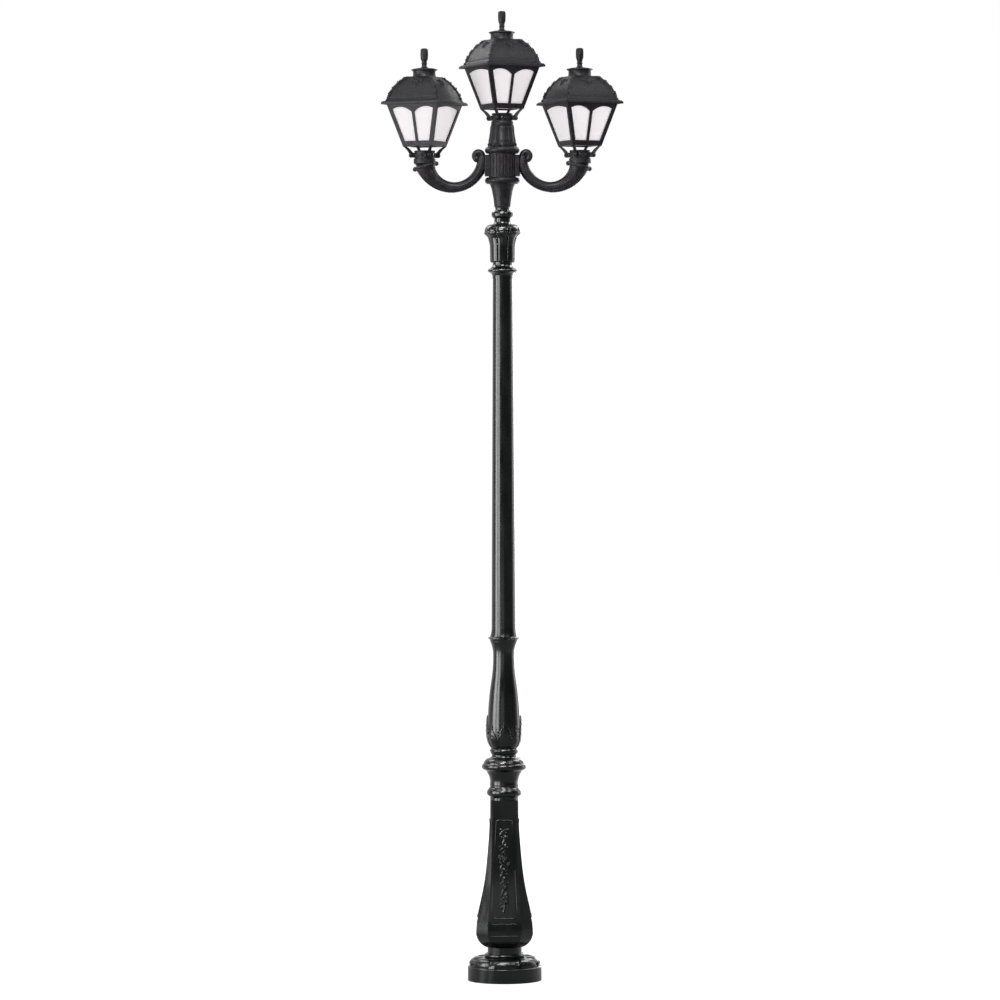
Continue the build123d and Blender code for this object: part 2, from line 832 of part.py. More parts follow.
def arm():
    """Arm on the +X side."""
    plate = Box(plate_t, 2 * plate_half_w, drum_h - 2 * plate_margin)
    plate = Pos(pad_x + plate_t / 2, 0, drum_mid_z) * plate
    plate = chamfer(plate.edges().filter_by(Axis.Z).group_by(Axis.X)[-1], plate_chamfer)
    body = arm_bend() + plate + Pos(arm_reach, 0, 0) * arm_cup()
    body -= Pos(arm_reach, 0, 0) * rod(spigot_r + plug_gap, cup_top_z - spigot_in, cup_top_z)
    body -= Pos(pad_x - drum_r, 0, drum_mid_z) * Box(2 * drum_r, 4 * drum_r, 4 * drum_h)
    body -= arm_duct()
    for k in (-1, 1):
        hole = Rot(0, 90, 0) * Cylinder(arm_screw_r + plug_gap, 2 * (arm_screw_bite + 1))
        body -= Pos(pad_x, 0, drum_mid_z + arm_screw_spread * k / 2) * hole
    return body


def arm_screws():
    """Socket screws that hold the two arm plates from inside the drum."""
    inner = pad_x - pad_depth
    shank = arm_screw_bite + pad_depth
    screw = rod(arm_screw_r, 0, shank) + rod(arm_screw_head_r, -arm_screw_head_h, 0)
    socket = extrude(RegularPolygon(0.8 * arm_screw_r, 6), amount=0.6 * arm_screw_head_h)
    screw -= Pos(0, 0, -arm_screw_head_h) * socket
    screw = Pos(inner, 0, 0) * Rot(0, 90, 0) * screw
    screws = []
    for side in (0, 180):
        for k in (-1, 1):
            screws.append(Pos(0, 0, drum_mid_z + arm_screw_spread * k / 2) * Rot(0, 0, side) * screw)
    return Compound(children=screws)


def spigot(inner_r):
    """Steel spigot in its seat; its own zero is the seat's mouth."""
    body = tube(spigot_r, inner_r, -spigot_in, spigot_up)
    return chamfer(body.edges().filter_by(GeomType.CIRCLE).sort_by(Axis.Z)[-1:], 0.8)


# ---- lantern, with its own zero at the rim ----
def dome_face(grow):
    """Silhouette of the roof's dome above the rim, drawn larger by grow."""
    foot = rim_half - eaves_inset + grow
    top = dome_top_half + grow
    return outline(
        (eaves_half + grow, rim_rise),
        (foot, dome_foot_z, -2.0),
        (top, dome_top_z + grow, dome_bow),
        (-top, dome_top_z + grow),
        (-foot, dome_foot_z, dome_bow),
        (-eaves_half - grow, rim_rise, -2.0),
    )


def dome_point(share):
    """Distance from the axis and height of a point on the dome's bowed side, from its foot up."""
    foot = rim_half - eaves_inset
    run = foot - dome_top_half
    chord = sqrt(run**2 + dome_h**2)
    bow = 4 * dome_bow * share * (1 - share)
    return foot - share * run + bow * dome_h / chord, dome_foot_z + share * dome_h + bow * run / chord


def roof():
    reach = 2 * rim_half
    rim = slab(rim_half, rim_half, -rim_lip, rim_rise)
    rim = chamfer(rim.edges().group_by(Axis.Z)[-1], rim_rise - 1.0)
    dome = four_sided(dome_face(0), reach)
    diagonal = slab(reach, hip_rib_w / 2, rim_rise, 2 * dome_h)
    cross = Rot(0, 0, 45) * diagonal + Rot(0, 0, 135) * diagonal
    ribs = four_sided(dome_face(hip_rib_relief), reach) & cross
    ribs -= rod(2 * chimney_r, dome_top_z, dome_top_z + chimney_body_h)
    body = rim + dome + ribs
    for i in range(hip_knob_count):
        half, height = dome_point((i + 0.5) / hip_knob_count)
        knob = Pos(half * sqrt(2), 0, height) * Sphere(hip_knob_r)
        body += spread(4, knob, start=45)
    hollow = four_sided(dome_face(-roof_wall), reach)
    hollow += slab(eaves_half - roof_wall, eaves_half - roof_wall, 0, rim_rise)
    body -= hollow
    body -= slab(rim_half - skirt_t, rim_half - skirt_t, -rim_lip, 0)
    post_place = Pos(tray_post_x, 0, 0)
    post = post_place * rod(tray_post_r, tray_rise + tray_t, 2 * dome_h)
    posts = [copy & dome for copy in spread(4, post)]
    boss = rod(stud_boss_r, dome_top_z - stud_boss_h, dome_top_z)
    body += posts + [boss]
    hole_top = tray_rise + tray_t + tray_screw_bite + 1
    holes = spread(4, post_place * rod(tray_screw_r + plug_gap, tray_rise, hole_top))
    return body - holes - rod(stud_r + plug_gap, dome_top_z - stud_boss_h, dome_top_z)


def chimney_cap():
    low = dome_top_z
    flange_low = low + chimney_body_h
    flange_top = flange_low + chimney_flange_h
    outside = turned(
        (0, low),
        (chimney_r, low),
        (chimney_r - 1, flange_low, -1.0),
        (chimney_r + chimney_flange, flange_low + 2),
        (chimney_r + chimney_flange, flange_top - 1, 0.8),
        (finial_foot_r - 4, flange_top + chimney_slope_h, 0.8),
        (0, flange_top + chimney_slope_h),
    )
    hollow = tube(chimney_r - wall, stud_boss_r, low, flange_low)
    return outside - hollow - rod(stud_r + plug_gap, low, flange_top + chimney_slope_h)


def finial():
    foot = dome_top_z + chimney_body_h + chimney_flange_h + chimney_slope_h
    stem_top = foot + finial_stem_h
    bud_top = stem_top + finial_bud_h
    body = turned(
        (0, foot),
        (finial_foot_r - 5, foot),
        (finial_stem_r, foot + 8, -1.5),
        (finial_stem_r, foot + 12),
        (finial_stem_r + 1.8, foot + 14.5),
        (finial_stem_r, foot + 17),
        (finial_stem_r + 0.6, stem_top),
        (finial_bud_r, stem_top + 0.35 * finial_bud_h, 1.0),
        (finial_bud_r, stem_top + 0.8 * finial_bud_h, 0.4),
        (finial_bud_r - 4, bud_top, 1.5),
        (0, bud_top),
    )
    groove = rod(finial_groove_r, stem_top, bud_top + finial_bud_h)
    grooves = spread(finial_petal_count, Pos(finial_bud_r + 0.5 * finial_groove_r, 0, 0) * groove)
    body -= grooves
    return body + rod(stud_r, dome_top_z - stud_boss_h + 2, foot)


def cage():
    """Tapered square frame with a bar at each corner and arched heads over the panes."""
    top = -gasket_t
    foot = -cage_h
    ring_top = foot + ring_bar_h
    head = cage_half(top)
    reach = 2 * cage_head_half
    shell = four_sided(
        outline((cage_foot_half, foot), (head, top), (-head, top), (-cage_foot_half, foot)), reach
    )
    inside = four_sided(
        outline(
            (cage_foot_half - cage_wall, foot),
            (head - cage_wall, top),
            (cage_wall - head, top),
            (cage_wall - cage_foot_half, foot),
        ),
        reach,
    )
    flange = slab(head + flange_out, head + flange_out, top - flange_t, top)
    frame = shell + flange - inside

    def pane_edge(height):
        return cage_half(height) - corner_bar_w

    spring = -arch_spring_drop
    half_bay = outline(
        (mid_bar_w / 2, ring_top),
        (pane_edge(ring_top), ring_top),
        (pane_edge(spring), spring),
        (mid_bar_w / 2, -pendant_drop, arch_bow + 3),
    )
    full_bay = outline(
        (-pane_edge(ring_top), ring_top),
        (pane_edge(ring_top), ring_top),
        (pane_edge(spring), spring),
        (-pane_edge(spring), spring, arch_bow),
    )
    frame -= prism(half_bay, reach)
    frame -= prism(mirror(half_bay, Plane.YZ), reach)
    frame -= Rot(0, 0, 90) * prism(full_bay, reach)
    ledge_half = cage_foot_half - cage_wall
    ledge = slab(ledge_half + 1, ledge_half + 1, foot, foot + ledge_t)
    ledge -= slab(ledge_half - ledge_w, ledge_half - ledge_w, foot, foot + ledge_t)
    return frame + ledge


def gasket():
    half = cage_half(-gasket_t) + flange_out
    return slab(half, half, -gasket_t, 0) - slab(half - gasket_w, half - gasket_w, -gasket_t, 0)


def diffuser():
    """Tapered opal tub that stands on the cage's ledge, with a hole for the wires in its floor."""
    low = -cage_h + ledge_t
    top = -gasket_t - flange_t
    inset = cage_wall + seat_gap

    def tub(extra, floor):
        foot_half = cage_half(low + floor) - inset - extra
        top_half = cage_half(top) - inset - extra
        side = outline(
            (foot_half, low + floor), (top_half, top), (-top_half, top), (-foot_half, low + floor)
        )
        return four_sided(side, 2 * cage_head_half)

    return tub(0, 0) - tub(diffuser_wall, diffuser_wall) - rod(duct_r, low, low + diffuser_wall)


def lantern_foot():
    """Collar that turns on the spigot, with four legs up to the corners of the cage."""
    low = -lantern_h
    top = low + lantern_collar_h
    corner_r = (cage_foot_half - 1.0) * sqrt(2)
    foot_r = lantern_collar_r + leg_foot_out
    leg = prism(
        outline(
            (collar_bore_r + 2, low + 3),
            (foot_r - 3, low + 3),
            (foot_r + 4, low + leg_foot_h, 4.0),
            (corner_r, -cage_h, -2.0),
            (corner_r - leg_w, -cage_h),
            (foot_r - 7, low + leg_foot_h + 4, 2.0),
            (collar_bore_r + 2, low + leg_foot_h + 4),
        ),
        leg_t / 2,
    )
    body = turned(
        (0, low),
        (lantern_collar_r, low),
        (lantern_collar_r, top - collar_bead_h),
        (lantern_collar_r + collar_bead, top - collar_bead_h + 1, 0.3),
        (lantern_collar_r + collar_bead, top - 1),
        (lantern_collar_r, top),
        (0, top),
    )
    body += spread(4, leg, start=45)
    body -= rod(collar_bore_r, low, top - collar_top_t)
    hole = Pos((lantern_collar_r + collar_bore_r) / 2, 0, low + lantern_collar_h / 2) * Rot(0, 90, 0)
    body -= spread(grub_count, hole * Cylinder(grub_r + plug_gap, 2 * lantern_collar_r - collar_bore_r))
    return body - rod(duct_r, low, top)


def grub_screws():
    """Screws that pinch the lantern's collar on its spigot, with a hexagon socket each."""
    length = lantern_collar_r - collar_bore_r - 0.5
    start = Pos(collar_bore_r + 0.1, 0, -lantern_h + lantern_collar_h / 2) * Rot(0, 90, 0)
    screw = start * Cylinder(grub_r, length, align=(Align.CENTER, Align.CENTER, Align.MIN))
    key = start * Pos(0, 0, length - 2.5) * extrude(RegularPolygon(grub_r * 0.55, 6), amount=2.5)
    return Compound(children=spread(grub_count, screw - key))


def lamp_tray():
    """Plate under the roof that carries the lampholder."""
    half = eaves_half - roof_wall - tray_gap
    plate = slab(half, half, tray_rise, tray_rise + tray_t)
    hole = Pos(tray_post_x, 0, 0) * rod(tray_screw_r + plug_gap, tray_rise, tray_rise + tray_t)
    return plate - spread(4, hole)


def tray_screws():
    shank = rod(tray_screw_r, tray_rise, tray_rise + tray_t + tray_screw_bite)
    head = rod(tray_screw_head_r, tray_rise - tray_screw_head_h, tray_rise)
    return Compound(children=spread(4, Pos(tray_post_x, 0, 0) * (shank + head)))


def lampholder():
    low = tray_rise - holder_h
    body = turned(
        (0, low),
        (holder_r - 3, low),
        (holder_r, low + 6, 0.5),
        (holder_r, tray_rise - 10),
        (holder_r - 4, tray_rise - 6),
        (holder_r - 4, tray_rise),
        (0, tray_rise),
    )
    return body - rod(lamp_cap_r + plug_gap, low, low + lamp_cap_h + 1)


def lamp():
    """Globe lamp in the holder, cap upwards."""
    cap_top = tray_rise - holder_h + lamp_cap_h
    neck_z = cap_top - lamp_cap_h - 2
    bulb_z = cap_top - lamp_h + lamp_bulb_r
    stem = turned(
        (0, bulb_z),
        (0.866 * lamp_bulb_r, bulb_z + 0.5 * lamp_bulb_r),
        (lamp_cap_r, neck_z),
        (lamp_cap_r, cap_top - 4),
        (lamp_cap_r - 3, cap_top),
        (0, cap_top),
    )
    return stem + Pos(0, 0, bulb_z) * Sphere(lamp_bulb_r)


# ---- assembly ----
pieces = {
    "ground_plate": ground_plate(),
    "core_pipe": core_pipe(),
    "pipe_reducer": pipe_reducer(),
    "top_pipe": top_pipe(),
    "base_plinth": base_plinth(),
    "pedestal_casing": pedestal_casing(),
    "pedestal_band": pedestal_band(),
    "cushion_ring": cushion_ring(),
    "baluster": baluster(),
    "shaft_tube": shaft_tube(),
    "shaft_collar": shaft_collar(),
    "capital": capital(),
    "top_neck": top_neck(),
    "hub_cone": hub_cone(),
    "hub_drum": hub_drum(),
    "hub_crown": hub_crown(),
    "arm_right": arm(),
    "arm_left": Rot(0, 0, 180) * arm(),
    "arm_screws": arm_screws(),
}

lantern_parts = {
    "lantern_foot": lantern_foot(),
    "grub_screws": grub_screws(),
    "cage": cage(),
    "diffuser": diffuser(),
    "gasket": gasket(),
    "roof": roof(),
    "chimney_cap": chimney_cap(),
    "finial": finial(),
    "lamp_tray": lamp_tray(),
    "tray_screws": tray_screws(),
    "lampholder": lampholder(),
    "lamp": lamp(),
}

side_spigot = spigot(spigot_r - spigot_wall)
middle_spigot = spigot(top_bore_r)
for name, x, seat_z, turn, own_spigot in (
    ("left", -arm_reach, cup_top_z, -lantern_turn, side_spigot),
    ("middle", 0.0, crown_top_z, lantern_turn, middle_spigot),
    ("right", arm_reach, cup_top_z, lantern_turn, side_spigot),
):
    pieces[f"spigot_{name}"] = Pos(x, 0, seat_z) * own_spigot
    place = Pos(x, 0, seat_z + lantern_h) * Rot(0, 0, turn)
    for part_name, shape in lantern_parts.items():
        pieces[f"{part_name}_{name}"] = place * shape

os.makedirs("parts", exist_ok=True)
for name, shape in pieces.items():
    export_step(shape, f"parts/{name}.step")
print(len(pieces), "pieces; rim of the side lanterns at", round(cup_top_z + lantern_h, 1))
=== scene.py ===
import json
from math import atan2, cos, pi, radians, sin, sqrt

import bmesh
import bpy
from bpy.props import FloatProperty, FloatVectorProperty, IntProperty, PointerProperty
from bpy.types import Operator, Panel, PropertyGroup
from mathutils import Matrix, Vector
from mathutils.bvhtree import BVHTree


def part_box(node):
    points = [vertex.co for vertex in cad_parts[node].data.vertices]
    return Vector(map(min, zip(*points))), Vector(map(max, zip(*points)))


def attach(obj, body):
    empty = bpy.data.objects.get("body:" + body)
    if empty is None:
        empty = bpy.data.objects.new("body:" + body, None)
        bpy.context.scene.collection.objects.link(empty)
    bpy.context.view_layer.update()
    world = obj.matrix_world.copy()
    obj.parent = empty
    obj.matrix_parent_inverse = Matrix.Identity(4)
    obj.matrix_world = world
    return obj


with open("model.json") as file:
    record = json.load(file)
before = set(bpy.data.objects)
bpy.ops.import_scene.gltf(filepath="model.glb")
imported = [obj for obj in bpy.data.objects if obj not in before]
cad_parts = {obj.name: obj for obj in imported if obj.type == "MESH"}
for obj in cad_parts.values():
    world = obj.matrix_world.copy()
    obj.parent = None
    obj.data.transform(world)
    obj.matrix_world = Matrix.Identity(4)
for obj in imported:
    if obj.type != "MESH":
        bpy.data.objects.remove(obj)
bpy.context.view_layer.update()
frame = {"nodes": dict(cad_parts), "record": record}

bl_info = {
    "name": "Triple Head Lamp Post",
    "version": (1, 0, 0),
    "blender": (4, 5, 0),
    "location": "View3D > Sidebar > Lamp Post",
    "description": "Finishes, carving and stage of a garden lamp post with three square lanterns",
    "category": "Object",
}

SIDES = ("left", "middle", "right")
COLUMN = "column"


# ---- sizes and colours that a user would change ----
class ColumnSettings(PropertyGroup):
    resin_colour: FloatVectorProperty(
        name="Resin Colour", description="Colour of the column's glossy mouldings",
        subtype="COLOR", size=3, min=0.0, max=1.0, default=(0.0032, 0.0040, 0.0040),
    )
    resin_roughness: FloatProperty(
        name="Resin Roughness", description="How much the column's gloss is softened",
        subtype="FACTOR", min=0.0, max=1.0, default=0.20,
    )
    leaf_rise: FloatProperty(
        name="Leaf Rise", description="How far the carved leaves stand out from the mouldings",
        subtype="DISTANCE", unit="LENGTH", min=0.0, max=0.02, default=0.0030,
    )
    garland_leaves: IntProperty(
        name="Garland Leaves", description="Leaves along the drop on the front and back of the pedestal",
        min=2, max=60, default=20,
    )


class HeadSettings(PropertyGroup):
    cast_colour: FloatVectorProperty(
        name="Lantern Colour", description="Colour of the arms, hub and lantern frames",
        subtype="COLOR", size=3, min=0.0, max=1.0, default=(0.0088, 0.0076, 0.0102),
    )
    cast_roughness: FloatProperty(
        name="Lantern Roughness", description="How much the sheen of the lantern frames is softened",
        subtype="FACTOR", min=0.0, max=1.0, default=0.40,
    )
    roof_colour: FloatVectorProperty(
        name="Roof Colour", description="Colour of the grained roofs",
        subtype="COLOR", size=3, min=0.0, max=1.0, default=(0.0080, 0.0071, 0.0092),
    )
    pane_colour: FloatVectorProperty(
        name="Pane Colour", description="Colour of the opal panes",
        subtype="COLOR", size=3, min=0.0, max=1.0, default=(0.905, 0.864, 0.880),
    )
    crest_leaves: IntProperty(
        name="Crest Leaves", description="Leaves along each hip of a roof",
        min=2, max=40, default=16,
    )


class StageSettings(PropertyGroup):
    picture_width: FloatProperty(
        name="Picture Width", description="Width of the picture at the post",
        subtype="DISTANCE", unit="LENGTH", min=0.5, max=20.0, default=3.404,
    )
    camera_distance: FloatProperty(
        name="Camera Distance", description="From the camera to the post",
        subtype="DISTANCE", unit="LENGTH", min=2.0, max=60.0, default=15.5,
    )
    camera_height: FloatProperty(
        name="Camera Height", description="Of the camera above the ground",
        subtype="DISTANCE", unit="LENGTH", min=0.0, max=10.0, default=1.9,
    )
    camera_roll: FloatProperty(
        name="Camera Roll", description="Turn of the picture about its middle",
        subtype="ANGLE", unit="ROTATION", min=-0.2, max=0.2, default=radians(-0.17),
    )


# ---- materials ----
class Finish:
    """Node material that is put together from a few named steps."""

    def __init__(self, name, colour, roughness, specular=0.5):
        self.material = bpy.data.materials.new(name)
        self.material.use_nodes = True
        self.nodes = self.material.node_tree.nodes
        self.links = self.material.node_tree.links
        self.shader = self.nodes["Principled BSDF"]
        self.shader.inputs["Base Color"].default_value = (*colour, 1.0)
        self.shader.inputs["Roughness"].default_value = roughness
        self.shader.inputs["Specular IOR Level"].default_value = specular
        self.place = self.nodes.new("ShaderNodeTexCoord").outputs["Object"]

    def noise(self, size, detail=3.0, roughness=0.55, stretch=(1.0, 1.0, 1.0)):
        """Noise whose grains are about size metres across."""
        mapping = self.nodes.new("ShaderNodeMapping")
        mapping.inputs["Scale"].default_value = stretch
        self.links.new(self.place, mapping.inputs["Vector"])
        noise = self.nodes.new("ShaderNodeTexNoise")
        noise.inputs["Scale"].default_value = 1.0 / size
        noise.inputs["Detail"].default_value = detail
        noise.inputs["Roughness"].default_value = roughness
        self.links.new(mapping.outputs["Vector"], noise.inputs["Vector"])
        return noise.outputs["Fac"]

    def grains(self, size):
        """Cells of about size metres, as in a sanded mould."""
        cells = self.nodes.new("ShaderNodeTexVoronoi")
        cells.inputs["Scale"].default_value = 1.0 / size
        self.links.new(self.place, cells.inputs["Vector"])
        return cells.outputs["Distance"]

    def ramp(self, source, low, high, low_at=0.35, high_at=0.65):
        """Map a 0 to 1 pattern between two colours or two levels."""
        ramp = self.nodes.new("ShaderNodeValToRGB")
        first, last = ramp.color_ramp.elements
        first.position = low_at
        last.position = high_at
        first.color = (*low, 1.0) if isinstance(low, tuple) else (low, low, low, 1.0)
        last.color = (*high, 1.0) if isinstance(high, tuple) else (high, high, high, 1.0)
        self.links.new(source, ramp.inputs["Fac"])
        return ramp.outputs["Color"]

    def colour(self, source):
        self.links.new(source, self.shader.inputs["Base Color"])
        return self

    def roughness(self, source):
        self.links.new(source, self.shader.inputs["Roughness"])
        return self

    def bump(self, source, depth, strength=1.0):
        """Add relief of about depth metres; calls stack up."""
        bump = self.nodes.new("ShaderNodeBump")
        bump.inputs["Strength"].default_value = strength
        bump.inputs["Distance"].default_value = depth
        self.links.new(source, bump.inputs["Height"])
        normal = self.shader.inputs["Normal"]
        if normal.is_linked:
            self.links.new(normal.links[0].from_socket, bump.inputs["Normal"])
        self.links.new(bump.outputs["Normal"], normal)
        return self


def shade(colour, factor):
    """Colour made lighter or darker by a factor."""
    return tuple(min(1.0, channel * factor) for channel in colour)


def column_resin():
    look = bpy.context.scene.lamp_post_column
    finish = Finish("column_resin", look.resin_colour, look.resin_roughness, specular=0.36)
    patches = finish.noise(0.09, detail=4.0)
    finish.colour(finish.ramp(patches, shade(look.resin_colour, 0.7), shade(look.resin_colour, 1.5)))
    smears = finish.noise(0.03, detail=5.0, stretch=(1.0, 1.0, 0.25))
    finish.roughness(finish.ramp(smears, look.resin_roughness - 0.04, look.resin_roughness + 0.07))
    finish.bump(finish.noise(0.035, detail=2.0), 0.00010)
    finish.bump(finish.noise(0.0016, detail=2.0), 0.00003)
    return finish.material


def lantern_resin():
    look = bpy.context.scene.lamp_post_head
    finish = Finish("lantern_resin", look.cast_colour, look.cast_roughness, specular=0.13)
    patches = finish.noise(0.014, detail=6.0, roughness=0.7)
    finish.colour(finish.ramp(patches, shade(look.cast_colour, 0.4), shade(look.cast_colour, 2.6)))
    smears = finish.noise(0.012)
    finish.roughness(finish.ramp(smears, look.cast_roughness - 0.06, look.cast_roughness + 0.1))
    finish.bump(finish.noise(0.0060, detail=4.0, roughness=0.6), 0.00035)
    finish.bump(finish.grains(0.0014), 0.00008)
    return finish.material


def roof_resin():
    look = bpy.context.scene.lamp_post_head
    finish = Finish("roof_resin", look.roof_colour, 0.46, specular=0.16)
    speckle = finish.noise(0.0070, detail=6.0, roughness=0.75)
    dark = shade(look.roof_colour, 0.3)
    pale = shade(look.roof_colour, 4.0)
    finish.colour(finish.ramp(speckle, dark, pale, low_at=0.36, high_at=0.74))
    finish.roughness(finish.ramp(finish.noise(0.008), 0.38, 0.56))
    finish.bump(finish.noise(0.0070, detail=4.0, roughness=0.7), 0.0008)
    finish.bump(finish.grains(0.0016), 0.00016)
    return finish.material


def opal_pane():
    look = bpy.context.scene.lamp_post_head
    finish = Finish("opal_pane", look.pane_colour, 0.5, specular=0.1)
    finish.shader.inputs["Subsurface Weight"].default_value = 0.35
    finish.shader.inputs["Subsurface Radius"].default_value = (0.012, 0.011, 0.011)
    # Emission is a painted glow: the pane shines evenly as if light came through it, though the lamp inside
    # is unlit
    finish.shader.inputs["Emission Color"].default_value = (*look.pane_colour, 1.0)
    finish.shader.inputs["Emission Strength"].default_value = 0.24
    cloud = finish.noise(0.05, detail=2.0)
    finish.colour(finish.ramp(cloud, shade(look.pane_colour, 0.985), look.pane_colour[:]))
    finish.bump(finish.noise(0.02, detail=1.0), 0.0001)
    return finish.material


def galvanised_steel():
    finish = Finish("galvanised_steel", (0.42, 0.43, 0.44), 0.4)
    finish.shader.inputs["Metallic"].default_value = 1.0
    spangle = finish.grains(0.009)
    finish.colour(finish.ramp(spangle, (0.34, 0.35, 0.36), (0.52, 0.53, 0.54), 0.1, 0.9))
    finish.roughness(finish.ramp(spangle, 0.32, 0.52, 0.1, 0.9))
    finish.bump(finish.noise(0.003), 0.00005)
    return finish.material


def stainless_steel():
    finish = Finish("stainless_steel", (0.55, 0.54, 0.52), 0.3)
    finish.shader.inputs["Metallic"].default_value = 1.0
    turned = finish.noise(0.0006, stretch=(1.0, 1.0, 6.0))
    finish.roughness(finish.ramp(turned, 0.22, 0.4))
    finish.bump(turned, 0.00002)
    return finish.material


def gasket_rubber():
    finish = Finish("gasket_rubber", (0.018, 0.018, 0.018), 0.8, specular=0.3)
    dust = finish.noise(0.004)
    finish.colour(finish.ramp(dust, (0.012, 0.012, 0.012), (0.028, 0.027, 0.026)))
    finish.bump(finish.noise(0.0008), 0.00008)
    return finish.material


def white_paint():
    finish = Finish("reflector_paint", (0.80, 0.80, 0.78), 0.35)
    finish.colour(finish.ramp(finish.noise(0.03), (0.77, 0.77, 0.75), (0.82, 0.82, 0.80)))
    finish.bump(finish.noise(0.0015), 0.00003)
    return finish.material


def holder_ceramic():
    finish = Finish("holder_ceramic", (0.80, 0.79, 0.75), 0.55)
    finish.colour(finish.ramp(finish.noise(0.008), (0.75, 0.74, 0.70), (0.83, 0.82, 0.78)))
    finish.bump(finish.grains(0.001), 0.00004)
    return finish.material


def frosted_lamp():
    finish = Finish("frosted_lamp", (0.92, 0.91, 0.88), 0.45)
    finish.shader.inputs["Subsurface Weight"].default_value = 0.4
    finish.shader.inputs["Subsurface Radius"].default_value = (0.01, 0.01, 0.01)
    finish.colour(finish.ramp(finish.noise(0.02), (0.90, 0.89, 0.86), (0.94, 0.93, 0.90)))
    finish.bump(finish.noise(0.0007), 0.00002)
    return finish.material


FINISH_OF_SLOT = {
    "column_black": column_resin,
    "lantern_black": lantern_resin,
    "roof_black": roof_resin,
    "opal_pane": opal_pane,
    "gasket_rubber": gasket_rubber,
    "steel_core": galvanised_steel,
    "screw_steel": stainless_steel,
    "tray_white": white_paint,
    "holder_ceramic": holder_ceramic,
    "lamp_glass": frosted_lamp,
}
materials = {}


def finish(slot_name):
    """The one material of a slot, made when it is first asked for."""
    if slot_name not in materials:
        materials[slot_name] = FINISH_OF_SLOT[slot_name]()
    return materials[slot_name]


# ---- meshes ----
def around_axis(radius, turn, height):
    """Point about the Z axis; turn is 0 at the front, which is -Y."""
    return Vector((radius * sin(turn), -radius * cos(turn), height))


def shares(steps):
    """Evenly spaced shares from 0 to 1."""
    return [k / steps for k in range(steps + 1)]


class Carving:
    """Vertices and faces of one carved piece while it is being put together."""

    def __init__(self):
        self.points = []
        self.faces = []

    def grid(self, front, back, rows, columns):
        """Closed shell from two functions of v (0 to 1) and u (-1 to 1) that meet at the rim."""
        start = len(self.points)
        width = columns + 1
        for side in (front, back):
            for row in range(rows + 1):
                for column in range(width):
                    self.points.append(side(row / rows, 2.0 * column / columns - 1.0))
        layer = (rows + 1) * width
        for row in range(rows):
            for column in range(columns):
                a = start + row * width + column
                self.faces.append((a, a + 1, a + width + 1, a + width))
                b = a + layer
                self.faces.append((b, b + width, b + width + 1, b + 1))
        rim = [start + column for column in range(width)]
        rim += [start + row * width + columns for row in range(1, rows + 1)]
        rim += [start + rows * width + column for column in range(columns - 1, -1, -1)]
        rim += [start + row * width for row in range(rows - 1, 0, -1)]
        for a, b in zip(rim, rim[1:] + rim[:1]):
            self.faces.append((b, a, a + layer, b + layer))

    def tube(self, path, radii, sides=10):
        """Closed round tube along a path of points."""
        start = len(self.points)
        last = len(path) - 1
        side_axis = None
        for i, point in enumerate(path):
            run = (path[min(i + 1, last)] - path[max(i - 1, 0)]).normalized()
            if side_axis is None:
                guess = Vector((0, 1, 0)) if abs(run.y) < 0.9 else Vector((1, 0, 0))
                side_axis = run.cross(guess).normalized()
            side_axis = (side_axis - run * side_axis.dot(run)).normalized()
            up = run.cross(side_axis)
            for k in range(sides):
                turn = 2 * pi * k / sides
                self.points.append(point + radii[i] * (cos(turn) * side_axis + sin(turn) * up))
        for i in range(last):
            for k in range(sides):
                a = start + i * sides + k
                b = start + i * sides + (k + 1) % sides
                self.faces.append((a, b, b + sides, a + sides))
        for row, flip in ((0, True), (last, False)):
            ring = [start + row * sides + k for k in range(sides)]
            self.faces.append(tuple(reversed(ring)) if flip else tuple(ring))

    def scroll(self, spot, steps, turn, size, thickness, start=0.0):
        """Tube that curls inwards along spot(turn, size, share).

        size and thickness are pairs: the first value and the share that it loses by the end.
        """
        path = []
        radii = []
        for share in shares(steps):
            path.append(spot(start + turn * share, size[0] * (1 - size[1] * share), share))
            radii.append(thickness[0] * (1 - thickness[1] * share))
        self.tube(path, radii, sides=8)

    def ball(self, centre, radius, rings=6, sides=10, squash=(1.0, 1.0, 1.0)):
        """Closed ball, squashed along the three axes."""
        start = len(self.points)
        self.points.append(centre + Vector((0, 0, radius * squash[2])))
        for ring in range(1, rings):
            tilt = pi * ring / rings
            for k in range(sides):
                turn = 2 * pi * k / sides
                self.points.append(centre + Vector((
                    radius * squash[0] * sin(tilt) * cos(turn),
                    radius * squash[1] * sin(tilt) * sin(turn),
                    radius * squash[2] * cos(tilt),
                )))
        self.points.append(centre - Vector((0, 0, radius * squash[2])))
        end = len(self.points) - 1
        for k in range(sides):
            after = (k + 1) % sides
            self.faces.append((start, start + 1 + k, start + 1 + after))
            for ring in range(rings - 2):
                a = start + 1 + ring * sides
                self.faces.append((a + k, a + sides + k, a + sides + after, a + after))
            a = start + 1 + (rings - 2) * sides
            self.faces.append((a + k, end, a + after))

    def object(self, name, material):
        """New object at the origin, faces outwards, smooth."""
        mesh = bpy.data.meshes.new(name)
        mesh.from_pydata([tuple(point) for point in self.points], [], self.faces)
        shell = bmesh.new()
        shell.from_mesh(mesh)
        bmesh.ops.remove_doubles(shell, verts=shell.verts, dist=1e-7)
        bmesh.ops.recalc_face_normals(shell, faces=shell.faces)
        for face in shell.faces:
            face.smooth = True
        shell.to_mesh(mesh)
        shell.free()
        mesh.materials.append(material)
        piece = bpy.data.objects.new(name, mesh)
        bpy.context.scene.collection.objects.link(piece)
        return piece


